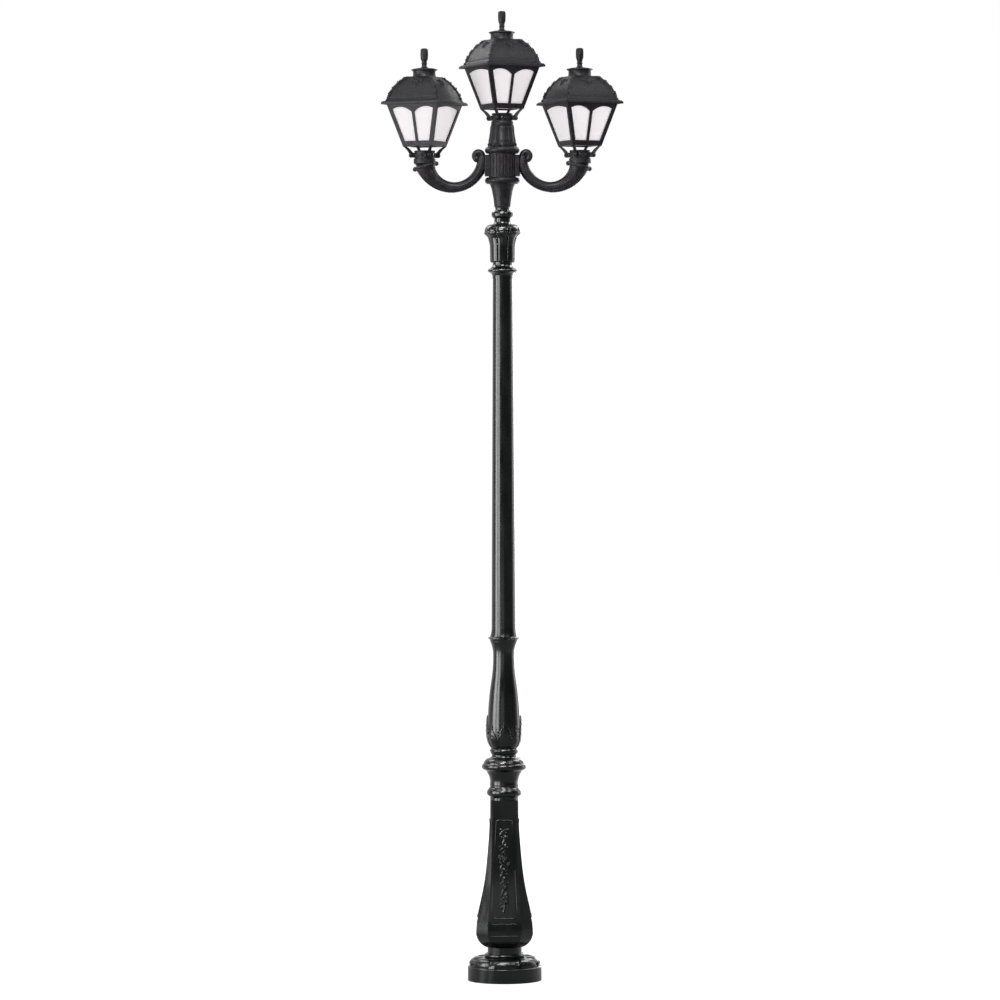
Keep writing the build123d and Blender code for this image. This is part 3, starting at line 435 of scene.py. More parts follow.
def pillow(carving, place, swell, sink, rim, rows, columns):
    """Closed thin shell on place(u, v, out).

    It is swell(v, u) high in front and sink deep behind, and both meet at the edge, rim high.
    """
    def level(v, u, inside):
        return place(u, v, rim if abs(u) == 1.0 or v in (0.0, 1.0) else inside)

    def front(v, u):
        return level(v, u, swell(v, u))

    def back(v, u):
        return level(v, u, -sink)

    carving.grid(front, back, rows, columns)


# parts of a leaf, as shares of its rise, its half width or its sink
LOBE_DEPTH = 0.11
DOME_RISE = 0.62
RIB_RISE = 0.45
RIB_HALF = 0.16
VEIN_RISE = 0.16
VEIN_SLANT = 0.9
EDGE_SINK = 0.4


def leaf(carving, place, length, half_width, rise, lobes=5, sink=0.0015, rows=18, columns=10):
    """Pointed leaf with a rib, veins and a lobed edge, laid on a surface by place(across, along, out)."""
    def half(v):
        belly = 0.55 + 0.45 * sin(pi * min(1.0, v * 1.15))
        tip = (1.0 - v ** 4) ** 0.75
        return half_width * belly * tip * (1.0 + LOBE_DEPTH * cos(2 * pi * lobes * v))

    def laid(u, v, out):
        return place(half(v) * u, v * length, out)

    def swell(v, u):
        dome = sqrt(max(0.0, 1.0 - u * u))
        rib = RIB_RISE * max(0.0, 1.0 - (abs(u) / RIB_HALF) ** 2)
        vein = VEIN_RISE * cos(2 * pi * (lobes * v + VEIN_SLANT * abs(u))) * dome
        return rise * (0.30 + 0.70 * sin(pi * (0.12 + 0.80 * v))) * (DOME_RISE * dome + rib + vein)

    pillow(carving, laid, swell, sink, -EDGE_SINK * sink, rows, columns)


def flat_place(across, along, out):
    """place() of a leaf that is laid out by copies of it later."""
    return Vector((across, along, out))


def petal(carving, place, centre, turn, length, half_width, rise, rows=8, columns=6):
    """Small leaflet lying on a surface, from centre towards turn (0 is up)."""
    def spot(across, along, out):
        return place(
            centre[0] + across * cos(turn) + along * sin(turn),
            centre[1] - across * sin(turn) + along * cos(turn),
            out,
        )

    leaf(carving, spot, length, half_width, rise, lobes=2, sink=0.0012, rows=rows, columns=columns)


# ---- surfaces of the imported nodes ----
skins = {}


def skin(node):
    """Search tree over a node's faces."""
    if node not in skins:
        mesh = frame["nodes"][node].data
        corners = [vertex.co.copy() for vertex in mesh.vertices]
        skins[node] = BVHTree.FromPolygons(corners, [tuple(face.vertices) for face in mesh.polygons])
    return skins[node]


def reach(node, height, bearing=0.0, axis_x=0.0, start=0.4):
    """Distance of a node's outside from an upright axis, in a direction; 0 is the front, -Y."""
    outwards = Vector((sin(bearing), -cos(bearing), 0.0))
    foot = Vector((axis_x, 0.0, height))
    hit = skin(node).ray_cast(foot + outwards * start, -outwards, start)[0]
    if hit is None:
        raise RuntimeError(f"nothing of {node} at height {height:.3f}")
    return (hit - foot).length


def across_bend(node, centre, outwards, reach_out):
    """Point where a line from outside towards the centre of a bend meets a node."""
    hit = skin(node).ray_cast(centre + outwards * reach_out, -outwards, reach_out)[0]
    if hit is None:
        raise RuntimeError(f"nothing of {node} beside {centre}")
    return hit


# ---- geometry nodes ----
def new_tree(name, inputs):
    """Geometry node tree with named inputs; returns the tree, its input node and its output node."""
    tree = bpy.data.node_groups.new(name, "GeometryNodeTree")
    tree.interface.new_socket("Geometry", in_out="INPUT", socket_type="NodeSocketGeometry")
    for label, kind in inputs:
        tree.interface.new_socket(label, in_out="INPUT", socket_type=kind)
    tree.interface.new_socket("Geometry", in_out="OUTPUT", socket_type="NodeSocketGeometry")
    return tree, tree.nodes.new("NodeGroupInput"), tree.nodes.new("NodeGroupOutput")


def close_tree(tree, source, given, result):
    """End a tree in Realize Instances and Set Material."""
    realize = tree.nodes.new("GeometryNodeRealizeInstances")
    paint = tree.nodes.new("GeometryNodeSetMaterial")
    tree.links.new(source, realize.inputs["Geometry"])
    tree.links.new(realize.outputs["Geometry"], paint.inputs["Geometry"])
    tree.links.new(given.outputs["Material"], paint.inputs["Material"])
    tree.links.new(paint.outputs["Geometry"], result.inputs["Geometry"])


def math_node(tree, operation, first, second):
    """Output of a math node whose two inputs are sockets or numbers."""
    node = tree.nodes.new("ShaderNodeMath")
    node.operation = operation
    for socket, value in zip(node.inputs, (first, second)):
        if isinstance(value, (int, float)):
            socket.default_value = value
        else:
            tree.links.new(value, socket)
    return node.outputs[0]


def ring_tree():
    """Copies of the piece about the Z axis."""
    tree, given, result = new_tree("copies_round_axis", (
        ("Count", "NodeSocketInt"), ("Start", "NodeSocketFloat"), ("Material", "NodeSocketMaterial"),
    ))
    points = tree.nodes.new("GeometryNodePoints")
    tree.links.new(given.outputs["Count"], points.inputs["Count"])
    index = tree.nodes.new("GeometryNodeInputIndex").outputs["Index"]
    step = math_node(tree, "DIVIDE", 2 * pi, given.outputs["Count"])
    turn = math_node(tree, "ADD", math_node(tree, "MULTIPLY", index, step), given.outputs["Start"])
    angles = tree.nodes.new("ShaderNodeCombineXYZ")
    tree.links.new(turn, angles.inputs["Z"])
    rotation = tree.nodes.new("FunctionNodeEulerToRotation")
    tree.links.new(angles.outputs["Vector"], rotation.inputs["Euler"])
    scatter = tree.nodes.new("GeometryNodeInstanceOnPoints")
    tree.links.new(points.outputs[0], scatter.inputs["Points"])
    tree.links.new(given.outputs["Geometry"], scatter.inputs["Instance"])
    tree.links.new(rotation.outputs["Rotation"], scatter.inputs["Rotation"])
    close_tree(tree, scatter.outputs["Instances"], given, result)
    return tree


def path_tree():
    """Copies of a leaflet along a path, turned to its two sides in turn, smaller towards the end."""
    tree, given, result = new_tree("leaves_along_path", (
        ("Path", "NodeSocketObject"), ("Count", "NodeSocketInt"), ("Spread", "NodeSocketFloat"),
        ("Side", "NodeSocketVector"), ("End Size", "NodeSocketFloat"), ("Wobble", "NodeSocketFloat"),
        ("Seed", "NodeSocketInt"), ("Material", "NodeSocketMaterial"),
    ))
    link = tree.links.new
    path = tree.nodes.new("GeometryNodeObjectInfo")
    link(given.outputs["Path"], path.inputs["Object"])
    points = tree.nodes.new("GeometryNodeCurveToPoints")
    points.mode = "COUNT"
    link(path.outputs["Geometry"], points.inputs["Curve"])
    link(given.outputs["Count"], points.inputs["Count"])
    index = tree.nodes.new("GeometryNodeInputIndex").outputs["Index"]
    facing = tree.nodes.new("ShaderNodeVectorMath")
    facing.operation = "CROSS_PRODUCT"
    link(points.outputs["Tangent"], facing.inputs[0])
    link(given.outputs["Side"], facing.inputs[1])
    chance = tree.nodes.new("FunctionNodeRandomValue")
    chance.data_type = "FLOAT"
    link(given.outputs["Seed"], chance.inputs["Seed"])
    amount = chance.outputs[1]
    twice_odd = math_node(tree, "MULTIPLY", math_node(tree, "MODULO", index, 2.0), 2.0)
    parity = math_node(tree, "SUBTRACT", twice_odd, 1.0)
    jitter = math_node(tree, "MULTIPLY", math_node(tree, "SUBTRACT", amount, 0.5), given.outputs["Wobble"])
    spread = math_node(tree, "MULTIPLY", parity, math_node(tree, "ADD", given.outputs["Spread"], jitter))
    turn = tree.nodes.new("ShaderNodeVectorRotate")
    turn.rotation_type = "AXIS_ANGLE"
    link(points.outputs["Tangent"], turn.inputs["Vector"])
    link(facing.outputs["Vector"], turn.inputs["Axis"])
    link(spread, turn.inputs["Angle"])
    rotation = tree.nodes.new("FunctionNodeAxesToRotation")
    rotation.primary_axis = "Y"
    rotation.secondary_axis = "Z"
    link(turn.outputs["Vector"], rotation.inputs["Primary Axis"])
    link(facing.outputs["Vector"], rotation.inputs["Secondary Axis"])
    share = math_node(tree, "DIVIDE", index, given.outputs["Count"])
    shrink = math_node(tree, "MULTIPLY", share, math_node(tree, "SUBTRACT", 1.0, given.outputs["End Size"]))
    scale = math_node(tree, "SUBTRACT", 1.0, shrink)
    scatter = tree.nodes.new("GeometryNodeInstanceOnPoints")
    link(points.outputs["Points"], scatter.inputs["Points"])
    link(given.outputs["Geometry"], scatter.inputs["Instance"])
    link(rotation.outputs["Rotation"], scatter.inputs["Rotation"])
    link(scale, scatter.inputs["Scale"])
    close_tree(tree, scatter.outputs["Instances"], given, result)
    return tree


trees = {}


def grow(piece, build, **values):
    """Run a piece through a tree and keep the result as its plain mesh."""
    if build not in trees:
        trees[build] = build()
    tree = trees[build]
    modifier = piece.modifiers.new("copies", "NODES")
    modifier.node_group = tree
    sockets = {item.name: item.identifier for item in tree.interface.items_tree if item.in_out == "INPUT"}
    for label, value in values.items():
        modifier[sockets[label.replace("_", " ")]] = value
    graph = bpy.context.evaluated_depsgraph_get()
    mesh = bpy.data.meshes.new_from_object(piece.evaluated_get(graph))
    piece.modifiers.remove(modifier)
    old = piece.data
    piece.data = mesh
    bpy.data.meshes.remove(old)
    return piece


def ring(piece, count, start=0.0):
    """Spread a piece about the Z axis."""
    return grow(piece, ring_tree, Count=count, Start=start, Material=piece.data.materials[0])


def path_object(points):
    """Curve through points, for leaves to follow."""
    curve = bpy.data.curves.new("path", "CURVE")
    curve.dimensions = "3D"
    spline = curve.splines.new("POLY")
    spline.points.add(len(points) - 1)
    for target, point in zip(spline.points, points):
        target.co = (*point, 1.0)
    path = bpy.data.objects.new("path", curve)
    bpy.context.scene.collection.objects.link(path)
    return path


def along_path(piece, points, **values):
    """Grow a leaflet along a line of points."""
    path = path_object(points)
    grow(piece, path_tree, Path=path, Material=piece.data.materials[0], **values)
    bpy.data.objects.remove(path)
    return piece


def settle(piece, body):
    """Hand a finished piece over to its body."""
    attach(piece, body)
    return piece


def copied(piece, name, matrix):
    """Copy of a finished piece with a move applied to its mesh."""
    mesh = piece.data.copy()
    mesh.transform(matrix)
    copy = bpy.data.objects.new(name, mesh)
    bpy.context.scene.collection.objects.link(copy)
    return copy


def join(name, pieces):
    """One object from several, in their order."""
    material = pieces[0].data.materials[0]
    carving = Carving()
    for piece in pieces:
        start = len(carving.points)
        carving.points += [vertex.co.copy() for vertex in piece.data.vertices]
        carving.faces += [tuple(start + i for i in face.vertices) for face in piece.data.polygons]
        bpy.data.objects.remove(piece)
    return carving.object(name, material)


# ---- places that the frame gives ----
def lantern_place(side):
    """Matrix from a lantern's own frame (rim at zero, square to the axes) to its place on the post."""
    low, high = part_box(f"roof_{side}")
    middle = (low + high) / 2
    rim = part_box(f"gasket_{side}")[1].z
    corner = max(
        (vertex.co for vertex in frame["nodes"][f"gasket_{side}"].data.vertices),
        key=lambda point: point.x,
    )
    turn = atan2(corner.y - middle.y, corner.x - middle.x) - radians(45)
    return Matrix.Translation((middle.x, middle.y, rim)) @ Matrix.Rotation(turn, 4, "Z")


def lantern_skin(node):
    """Search tree over one of the middle lantern's nodes, in the lantern's own frame."""
    key = "own " + node
    if key not in skins:
        back = lantern_place("middle").inverted()
        mesh = frame["nodes"][node].data
        corners = [back @ vertex.co for vertex in mesh.vertices]
        skins[key] = BVHTree.FromPolygons(corners, [tuple(face.vertices) for face in mesh.polygons])
    return skins[key]


def lantern_heights(node):
    """Foot and top of one of the middle lantern's nodes, above its rim."""
    back = lantern_place("middle").inverted()
    return [(back @ corner).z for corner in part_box(node)]


def on_each_lantern(piece, name, body):
    """Put a piece that was made in a lantern's own frame on all three lanterns."""
    for side in SIDES:
        copy = copied(piece, f"{name}_{side}", lantern_place(side))
        settle(copy, f"{body}_{side}")
    bpy.data.objects.remove(piece)


# ---- operators ----
class LAMPPOST_OT_finishes(Operator):
    """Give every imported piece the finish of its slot"""
    bl_idname = "lamppost.finishes"
    bl_label = "Finish the Pieces"

    def execute(self, context):
        slots = {part["node"]: part["material_slot"] for part in frame["record"]["subparts"]}
        for node, piece in frame["nodes"].items():
            if node not in slots:
                raise RuntimeError(f"{node} has no material slot in the record")
            piece.data.materials.clear()
            piece.data.materials.append(finish(slots[node]))
        return {"FINISHED"}


class LAMPPOST_OT_palmettes(Operator):
    """Carve fans of petals with volutes between them on the plinth's shoulder"""
    bl_idname = "lamppost.palmettes"
    bl_label = "Plinth Palmettes"

    fans = 4
    petals = 9
    scales = 44
    low = 0.0535
    high = 0.0795
    lean = 0.35
    plain = radians(22.5)
    spread = radians(62)
    root_spread = 0.62
    volute_bearing = 45
    volute_apart = 7.5
    volute_z = 0.0700

    def on_shoulder(self, bearing, share, across, out):
        """Point on the plinth's shoulder; share is 0 at its upper edge and 1 at its lower one."""
        height = max(self.low, self.high - (self.high - self.low) * share)
        radius = reach("base_plinth", height, self.plain) + out
        return around_axis(radius, bearing + across / radius, height + self.lean * out)

    def execute(self, context):
        resin = finish("column_black")
        pieces = [
            ring(self.fan().object("fans", resin), self.fans),
            ring(self.scale().object("scales", resin), self.scales),
            ring(self.volute().object("volutes", resin), self.fans),
        ]
        settle(join("plinth_palmettes", pieces), COLUMN)
        return {"FINISHED"}

    def fan(self):
        fan = Carving()
        for i in range(self.petals):
            side = i / (self.petals - 1) - 0.5

            def place(across, along, out, side=side):
                step = along * (1.0 - 0.5 * abs(side))
                opened = self.root_spread + (1.0 - self.root_spread) * step
                return self.on_shoulder(side * self.spread * opened, step, across, out)

            leaf(fan, place, 1.0, 0.0085, 0.0050, lobes=1, sink=0.004, rows=10, columns=6)
        return fan

    def scale(self):
        scale = Carving()

        def place(across, along, out):
            return self.on_shoulder(0.0, along, across, out)

        leaf(scale, place, 1.0, 0.0062, 0.0052, lobes=1, sink=0.004, rows=8, columns=6)
        return scale

    def volute(self):
        """Pair of spirals that stand on the shoulder between two fans."""
        volute = Carving()
        outer = reach("base_plinth", self.low, self.plain)
        inner = reach("base_plinth", self.high, self.plain)
        centre_r = (outer + inner) / 2 + 0.0085
        for hand in (-1, 1):
            def spot(turn, size, share, hand=hand):
                climb = size * cos(turn)
                radius = centre_r - 0.8 * climb
                across = hand * (size * sin(turn) + 0.004)
                bearing = radians(self.volute_bearing + hand * self.volute_apart)
                return around_axis(radius, bearing + across / radius, self.volute_z + 0.62 * climb)

            volute.scroll(spot, 21, radians(500), (0.0105, 0.80), (0.0034, 0.45))
        return volute


class LAMPPOST_OT_garlands(Operator):
    """Hang a drop of a bow, flowers, leaves and a bell on the front and the back of the pedestal"""
    bl_idname = "lamppost.garlands"
    bl_label = "Pedestal Garlands"

    top = 0.5150
    foot = 0.2480
    sway = 0.0040
    line_rise = 0.0004

    def execute(self, context):
        look = context.scene.lamp_post_column
        resin = finish("column_black")
        drop = join("drop", [self.stem(resin), self.leaves(look, resin), self.blooms(resin)])
        for piece, count, name in (
            (drop, 2, "pedestal_garlands"),
            (self.lines(resin), 4, "pedestal_lines"),
        ):
            piece = ring(piece, count)
            piece.name = name
            settle(piece, COLUMN)
        return {"FINISHED"}

    def place(self, across, height, out):
        """Point on the front of the pedestal."""
        return Vector((across, -reach("pedestal_casing", height) - out, height))

    def line(self, carving, start, end, radius):
        """Straight ridge between two (across, height) places on the front."""
        path = []
        for share in shares(24):
            across = start[0] + (end[0] - start[0]) * share
            height = start[1] + (end[1] - start[1]) * share
            path.append(self.place(across, height, self.line_rise))
        carving.tube(path, [radius] * len(path), sides=8)

    def lines(self, resin):
        """Fine ridges on one side: the border of the panel and two lines under it."""
        head, foot, corner = 0.5490, 0.2190, 0.0120
        head_half, foot_half = 0.0270, 0.0440
        border = (
            (-head_half, head), (head_half, head), (foot_half, foot + corner), (foot_half - corner, foot),
            (corner - foot_half, foot), (-foot_half, foot + corner), (-head_half, head),
        )
        lines = Carving()
        for start, end in zip(border, border[1:]):
            self.line(lines, start, end, 0.0013)
        for height, half in ((0.2000, 0.0440), (0.1590, 0.0480)):
            self.line(lines, (-half, height), (half, height), 0.0011)
        return lines.object("lines", resin)

    def stem_points(self):
        points = []
        for share in shares(24):
            height = self.top + (self.foot - self.top) * share
            points.append(self.place(self.sway * sin(3.2 * pi * share) - 0.003, height, 0.0016))
        return points

    def stem(self, resin):
        points = self.stem_points()
        stem = Carving()
        stem.tube(points, [0.0021 - 0.0007 * i / len(points) for i in range(len(points))], sides=8)
        return stem.object("stem", resin)

    def leaves(self, look, resin):
        leaflet = Carving()
        leaf(leaflet, flat_place, 0.027, 0.0062, 0.0064, lobes=2, sink=0.0030, rows=12, columns=8)
        return along_path(
            leaflet.object("leaves", resin), self.stem_points(),
            Count=look.garland_leaves, Spread=radians(34), Side=(1.0, 0.0, 0.0),
            End_Size=0.62, Wobble=radians(36), Seed=7,
        )

    def blooms(self, resin):
        """Bow and flowers at the top, a bouquet in the middle, a bell and its strands at the foot."""
        place = self.place
        blooms = Carving()
        # the bow's loops and ends, and the leaves under its knot
        for hand in (-1, 1):
            for height, degrees, length, half_width, rise in (
                (0.5150, 74, 0.0185, 0.0060, 0.0085),
                (0.5130, 142, 0.0200, 0.0040, 0.0060),
                (0.4900, 66, 0.0150, 0.0046, 0.0075),
            ):
                centre = (hand * 0.002, height)
                petal(blooms, place, centre, hand * radians(degrees), length, half_width, rise)
        # flowers: across, height, size, petals
        for across, height, size, count in (
            (-0.014, 0.4270, 0.0105, 6), (-0.002, 0.4400, 0.0100, 6), (0.001, 0.4170, 0.0120, 6),
            (0.014, 0.4010, 0.0100, 5), (-0.012, 0.4060, 0.0075, 5),
        ):
            for k in range(count):
                turn = 2 * pi * k / count + height * 90
                petal(blooms, place, (across, height), turn, size, 0.46 * size, 0.0080)
            blooms.ball(place(across, height, 0.0054), 0.36 * size, squash=(1.0, 0.9, 1.0))
        # loose leaves: side, distance from the stem, height, length
        for side, far, high, size in (
            (-1, 0.004, 0.468, 0.021), (-1, 0.003, 0.455, 0.018), (1, 0.004, 0.462, 0.014),
            (-1, 0.003, 0.388, 0.018), (1, 0.004, 0.372, 0.020), (-1, 0.004, 0.366, 0.016),
            (1, 0.008, 0.342, 0.014), (-1, 0.004, 0.344, 0.017),
        ):
            petal(blooms, place, (side * far, high), side * radians(128), size, 0.0042, 0.0068)
        for k in range(-2, 3):
            petal(blooms, place, (-0.002, 0.3260), radians(180 + 34 * k), 0.0170, 0.0038, 0.0075)
        for hand in (-1, 1):
            for height in (0.310, 0.296, 0.282):
                petal(blooms, place, (hand * 0.003, height), hand * radians(146), 0.0230, 0.0034, 0.0062)
        petal(blooms, place, (-0.001, 0.2660), pi, 0.0260, 0.0050, 0.0070)
        # knots: across, height, rise, radius, squash
        for across, height, rise, radius, squash in (
            (0.0, 0.5140, 0.0030, 0.0050, (1.0, 0.8, 1.0)),
            (-0.001, 0.4890, 0.0025, 0.0044, (1.0, 0.8, 1.0)),
            (-0.002, 0.3280, 0.0030, 0.0048, (1.3, 0.8, 0.8)),
            (-0.001, 0.2700, 0.0030, 0.0042, (1.0, 0.8, 1.0)),
        ):
            blooms.ball(place(across, height, rise), radius, squash=squash)
        return blooms.object("blooms", resin)


class LAMPPOST_OT_calyx(Operator):
    """Wrap the foot of the baluster in pointed leaves with berries between them"""
    bl_idname = "lamppost.calyx"
    bl_label = "Baluster Calyx"

    foot_rise = 0.0235
    lift = 0.0022
    plain = radians(22.5)

    def execute(self, context):
        rise = context.scene.lamp_post_column.leaf_rise
        resin = finish("column_black")
        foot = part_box("baluster")[0].z + self.foot_rise

        def laid(bearing, lift):
            def place(across, along, out):
                radius = reach("baluster", foot + along, self.plain)
                return around_axis(radius + out + lift, bearing + across / radius, foot + along)
            return place

        side = Carving()
        leaf(side, laid(0.0, self.lift), 0.110, 0.0215, rise, lobes=6, sink=0.0025, rows=26)
        front = Carving()
        leaf(front, laid(0.0, self.lift), 0.090, 0.0205, rise, lobes=5, sink=0.0025, rows=24)
        low = Carving()
        leaf(low, laid(radians(45), self.lift), 0.064, 0.0195, rise, lobes=4, sink=0.0025, rows=20)
        for height in (0.064, 0.072):
            low.ball(laid(radians(45), 0.0)(0.0, height, 0.0010), 0.0036)
        small = Carving()
        between_leaves = laid(self.plain, 0.0)
        leaf(small, between_leaves, 0.046, 0.0085, rise, lobes=3, sink=0.002, rows=14)
        small.ball(between_leaves(0.0, 0.054, 0.0012), 0.0036)
        for across in (-0.005, 0.005):
            small.ball(between_leaves(across, 0.063, 0.0010), 0.0026)
        leaves = [
            ring(side.object("side", resin), 2, start=radians(90)),
            ring(front.object("front", resin), 2),
            ring(low.object("low", resin), 4),
            ring(small.object("small", resin), 8),
        ]
        settle(join("baluster_calyx", leaves), COLUMN)
        return {"FINISHED"}


class LAMPPOST_OT_capital_leaves(Operator):
    """Wrap the capital's bell in smooth leaves that flare out into its lip"""
    bl_idname = "lamppost.capital_leaves"
    bl_label = "Capital Leaves"

    count = 8
    foot_rise = 0.003
    swell_rise = 0.026
    lip_rise = 0.108
    flare_rise = 0.060
    sink = 0.0015
    gap = 0.985
    flare_power = 2.6

    def execute(self, context):
        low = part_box("capital")[0].z
        foot = low + self.foot_rise
        flare = low + self.flare_rise
        lip = low + self.lip_rise
        foot_r = reach("capital", foot)
        swell_r = reach("capital", foot + self.swell_rise)
        flare_r = reach("capital", flare)
        lip_r = reach("capital", lip)
        half = self.gap * pi / self.count

        def radius(height):
            """Of the bell, with the step at its foot and the hollow under its lip bridged smoothly."""
            low_share = min(1.0, (height - foot) / self.swell_rise)
            high_share = max(0.0, (height - flare) / (lip - flare))
            return max(
                reach("capital", height),
                foot_r + (swell_r - foot_r) * low_share,
                flare_r + (lip_r - flare_r) * high_share ** self.flare_power,
            )

        def place(u, v, out):
            height = foot + (lip - foot) * v
            return around_axis(radius(height) + out, half * u, height)

        def swell(v, u):
            return 0.0003 + (0.0006 + 0.0018 * v * v) * (1 - u * u)

        carved = Carving()
        pillow(carved, place, swell, self.sink, -self.sink / 2, 22, 12)
        leaves = ring(carved.object("capital_leaves", finish("column_black")), self.count)
        settle(leaves, COLUMN)
        return {"FINISHED"}


class LAMPPOST_OT_arm_carving(Operator):
    """Rib and bead the arms' leaves and curl a tip over each mouth's lip"""
    bl_idname = "lamppost.arm_carving"
    bl_label = "Arm Carving"

    mouth = 15.0
    ribs = 8
    flanks = (90, 270)
    flank_apart = 38
    bead_rows = (22, 152, 208, 338)
    beads = 10
    first_bead = 48
    bead_step = 4.4
    tips = (0, 90, 180, 270)

    def execute(self, context):
        resin = finish("lantern_black")
        low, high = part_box("spigot_right")
        self.cup_x = (low.x + high.x) / 2
        self.cup_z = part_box("lantern_foot_right")[0].z
        self.root_x = self.cup_x - 2 * self.bend_radius()
        arms = Carving()
        for k in range(self.ribs):
            self.ridge(arms, 360 * (k + 0.5) / self.ribs, 24, 98, 0.0025, 0.0009)
        for around in self.flanks:
            self.ridge(arms, around, 70, 163, 0.0016, 0.0013)
            for hand in (-1, 1):
                self.ridge(arms, around + hand * self.flank_apart, 88, 160, 0.0010, 0.0008)
        for around in self.bead_rows:
            for k in range(self.beads):
                centre = self.spot(self.first_bead + self.bead_step * k, around, 0.0004)
                arms.ball(centre, 0.0023 - 0.00007 * k, rings=5, sides=8)
        for around in self.tips:
            self.tip(arms, around)
        right = arms.object("arm_carving_right", resin)
        left = copied(right, "arm_carving_left", Matrix.Rotation(pi, 4, "Z"))
        for piece in (right, left):
            settle(piece, COLUMN)
        return {"FINISHED"}

    def bend_radius(self):
        """Radius of the arm's centre line, from its lowest point up to the height of the cup's top."""
        lowest = skin("arm_right").ray_cast(Vector((self.cup_x * 0.63, 0, 0)), Vector((0, 0, 1)))[0]
        upper = skin("arm_right").ray_cast(lowest + Vector((0, 0, 0.01)), Vector((0, 0, 1)))[0]
        return self.cup_z - (lowest.z + upper.z) / 2

    def section(self, bend):
        """Centre, outward axis and run of the bend at an angle below the height of the cup's top."""
        turn = -radians(bend)
        radius = (self.cup_x - self.root_x) / 2
        middle = Vector(((self.cup_x + self.root_x) / 2, 0, self.cup_z))
        outwards = Vector((cos(turn), 0, sin(turn)))
        return middle + outwards * radius, outwards, Vector((sin(turn), 0, -cos(turn)))

    def spoke(self, outwards, around):
        """Direction from the centre of a section; around is 0 outside the bend, 90 at the front."""
        return outwards * cos(radians(around)) + Vector((0, -1, 0)) * sin(radians(around))

    def spot(self, bend, around, out):
        """Point on the arm's skin, or out above it."""
        centre, outwards = self.section(bend)[:2]
        spoke = self.spoke(outwards, around)
        return across_bend("arm_right", centre, spoke, 0.07) + spoke * out

    def ridge(self, carving, around, first, last, thick, thin):
        """Tapered rib along the bend, sunk a little, with thin ends."""
        path = []
        radii = []
        for share in shares(26):
            path.append(self.spot(first + (last - first) * share, around, -0.0002))
            ends = min(1.0, 0.4 + 5 * share, 0.4 + 5 * (1 - share))
            radii.append((thick + (thin - thick) * share) * ends)
        carving.tube(path, radii, sides=8)

    def tip(self, carving, around):
        """Lobe that rolls outwards over the lip, with a bead at its heart."""
        outwards, run = self.section(self.mouth)[1:]
        spoke = self.spoke(outwards, around)
        aside = spoke.cross(run)
        heart = self.spot(self.mouth, around, 0.0) - spoke * 0.0035
        for hand in (-1, 1):
            def spot(turn, size, share, hand=hand):
                apart = hand * (0.0045 + 0.0035 * share)
                return heart + aside * apart + size * (spoke * sin(turn) - run * cos(turn))

            carving.scroll(spot, 16, radians(330), (0.0052, 0.45), (0.0040, 0.35), start=radians(-60))
        carving.ball(heart + spoke * 0.0006, 0.0082, rings=8, sides=12)


class LAMPPOST_OT_roof_crests(Operator):
    """Set leaves along the hips of each roof and a small flower high on each of its faces"""
    bl_idname = "lamppost.roof_crests"
    bl_label = "Roof Crests"

    low = 0.010
    high = 0.086
    flower_z = 0.069
    flower_petals = 6
    face_out = Vector((0, -0.7, 0.7))

    def execute(self, context):
        look = context.scene.lamp_post_head
        resin = finish("roof_black")
        roof = lantern_skin("roof_middle")
        spoke = Vector((1, 1, 0)).normalized()

        def hip(height):
            foot = Vector((0, 0, height))
            return (roof.ray_cast(foot + spoke * 0.3, -spoke, 0.3)[0] - foot).length

        points = []
        for share in shares(24):
            height = self.low + (self.high - self.low) * share
            points.append(Vector((hip(height) - 0.0006, 0.0, height)))
        leaflet = Carving()
        leaf(leaflet, flat_place, 0.0085, 0.0030, 0.0022, lobes=2, sink=0.0026, rows=8, columns=6)
        crest = along_path(
            leaflet.object("crest", resin), points,
            Count=look.crest_leaves, Spread=radians(34), Side=(0.0, -1.0, 0.0),
            End_Size=0.85, Wobble=radians(20), Seed=3,
        )
        crests = ring(crest, 4, start=radians(45))

        def on_face(across, along, out):
            start = Vector((across, -0.2, along))
            return roof.ray_cast(start, Vector((0, 1, 0)), 0.2)[0] + self.face_out * out

        flower = Carving()
        for k in range(self.flower_petals):
            turn = 2 * pi * k / self.flower_petals
            petal(flower, on_face, (0.0, self.flower_z), turn, 0.0120, 0.0034, 0.0040)
        flower.ball(on_face(0.0, self.flower_z, 0.0010), 0.0024, rings=5, sides=8)
        for hand in (-1, 1):
            centre = (hand * 0.012, self.flower_z + 0.003)
            petal(flower, on_face, centre, hand * radians(70), 0.0140, 0.0030, 0.0036)
        flowers = ring(flower.object("flower", resin), 4)
        on_each_lantern(join("crests", [crests, flowers]), "roof_crests", "lid")
        return {"FINISHED"}


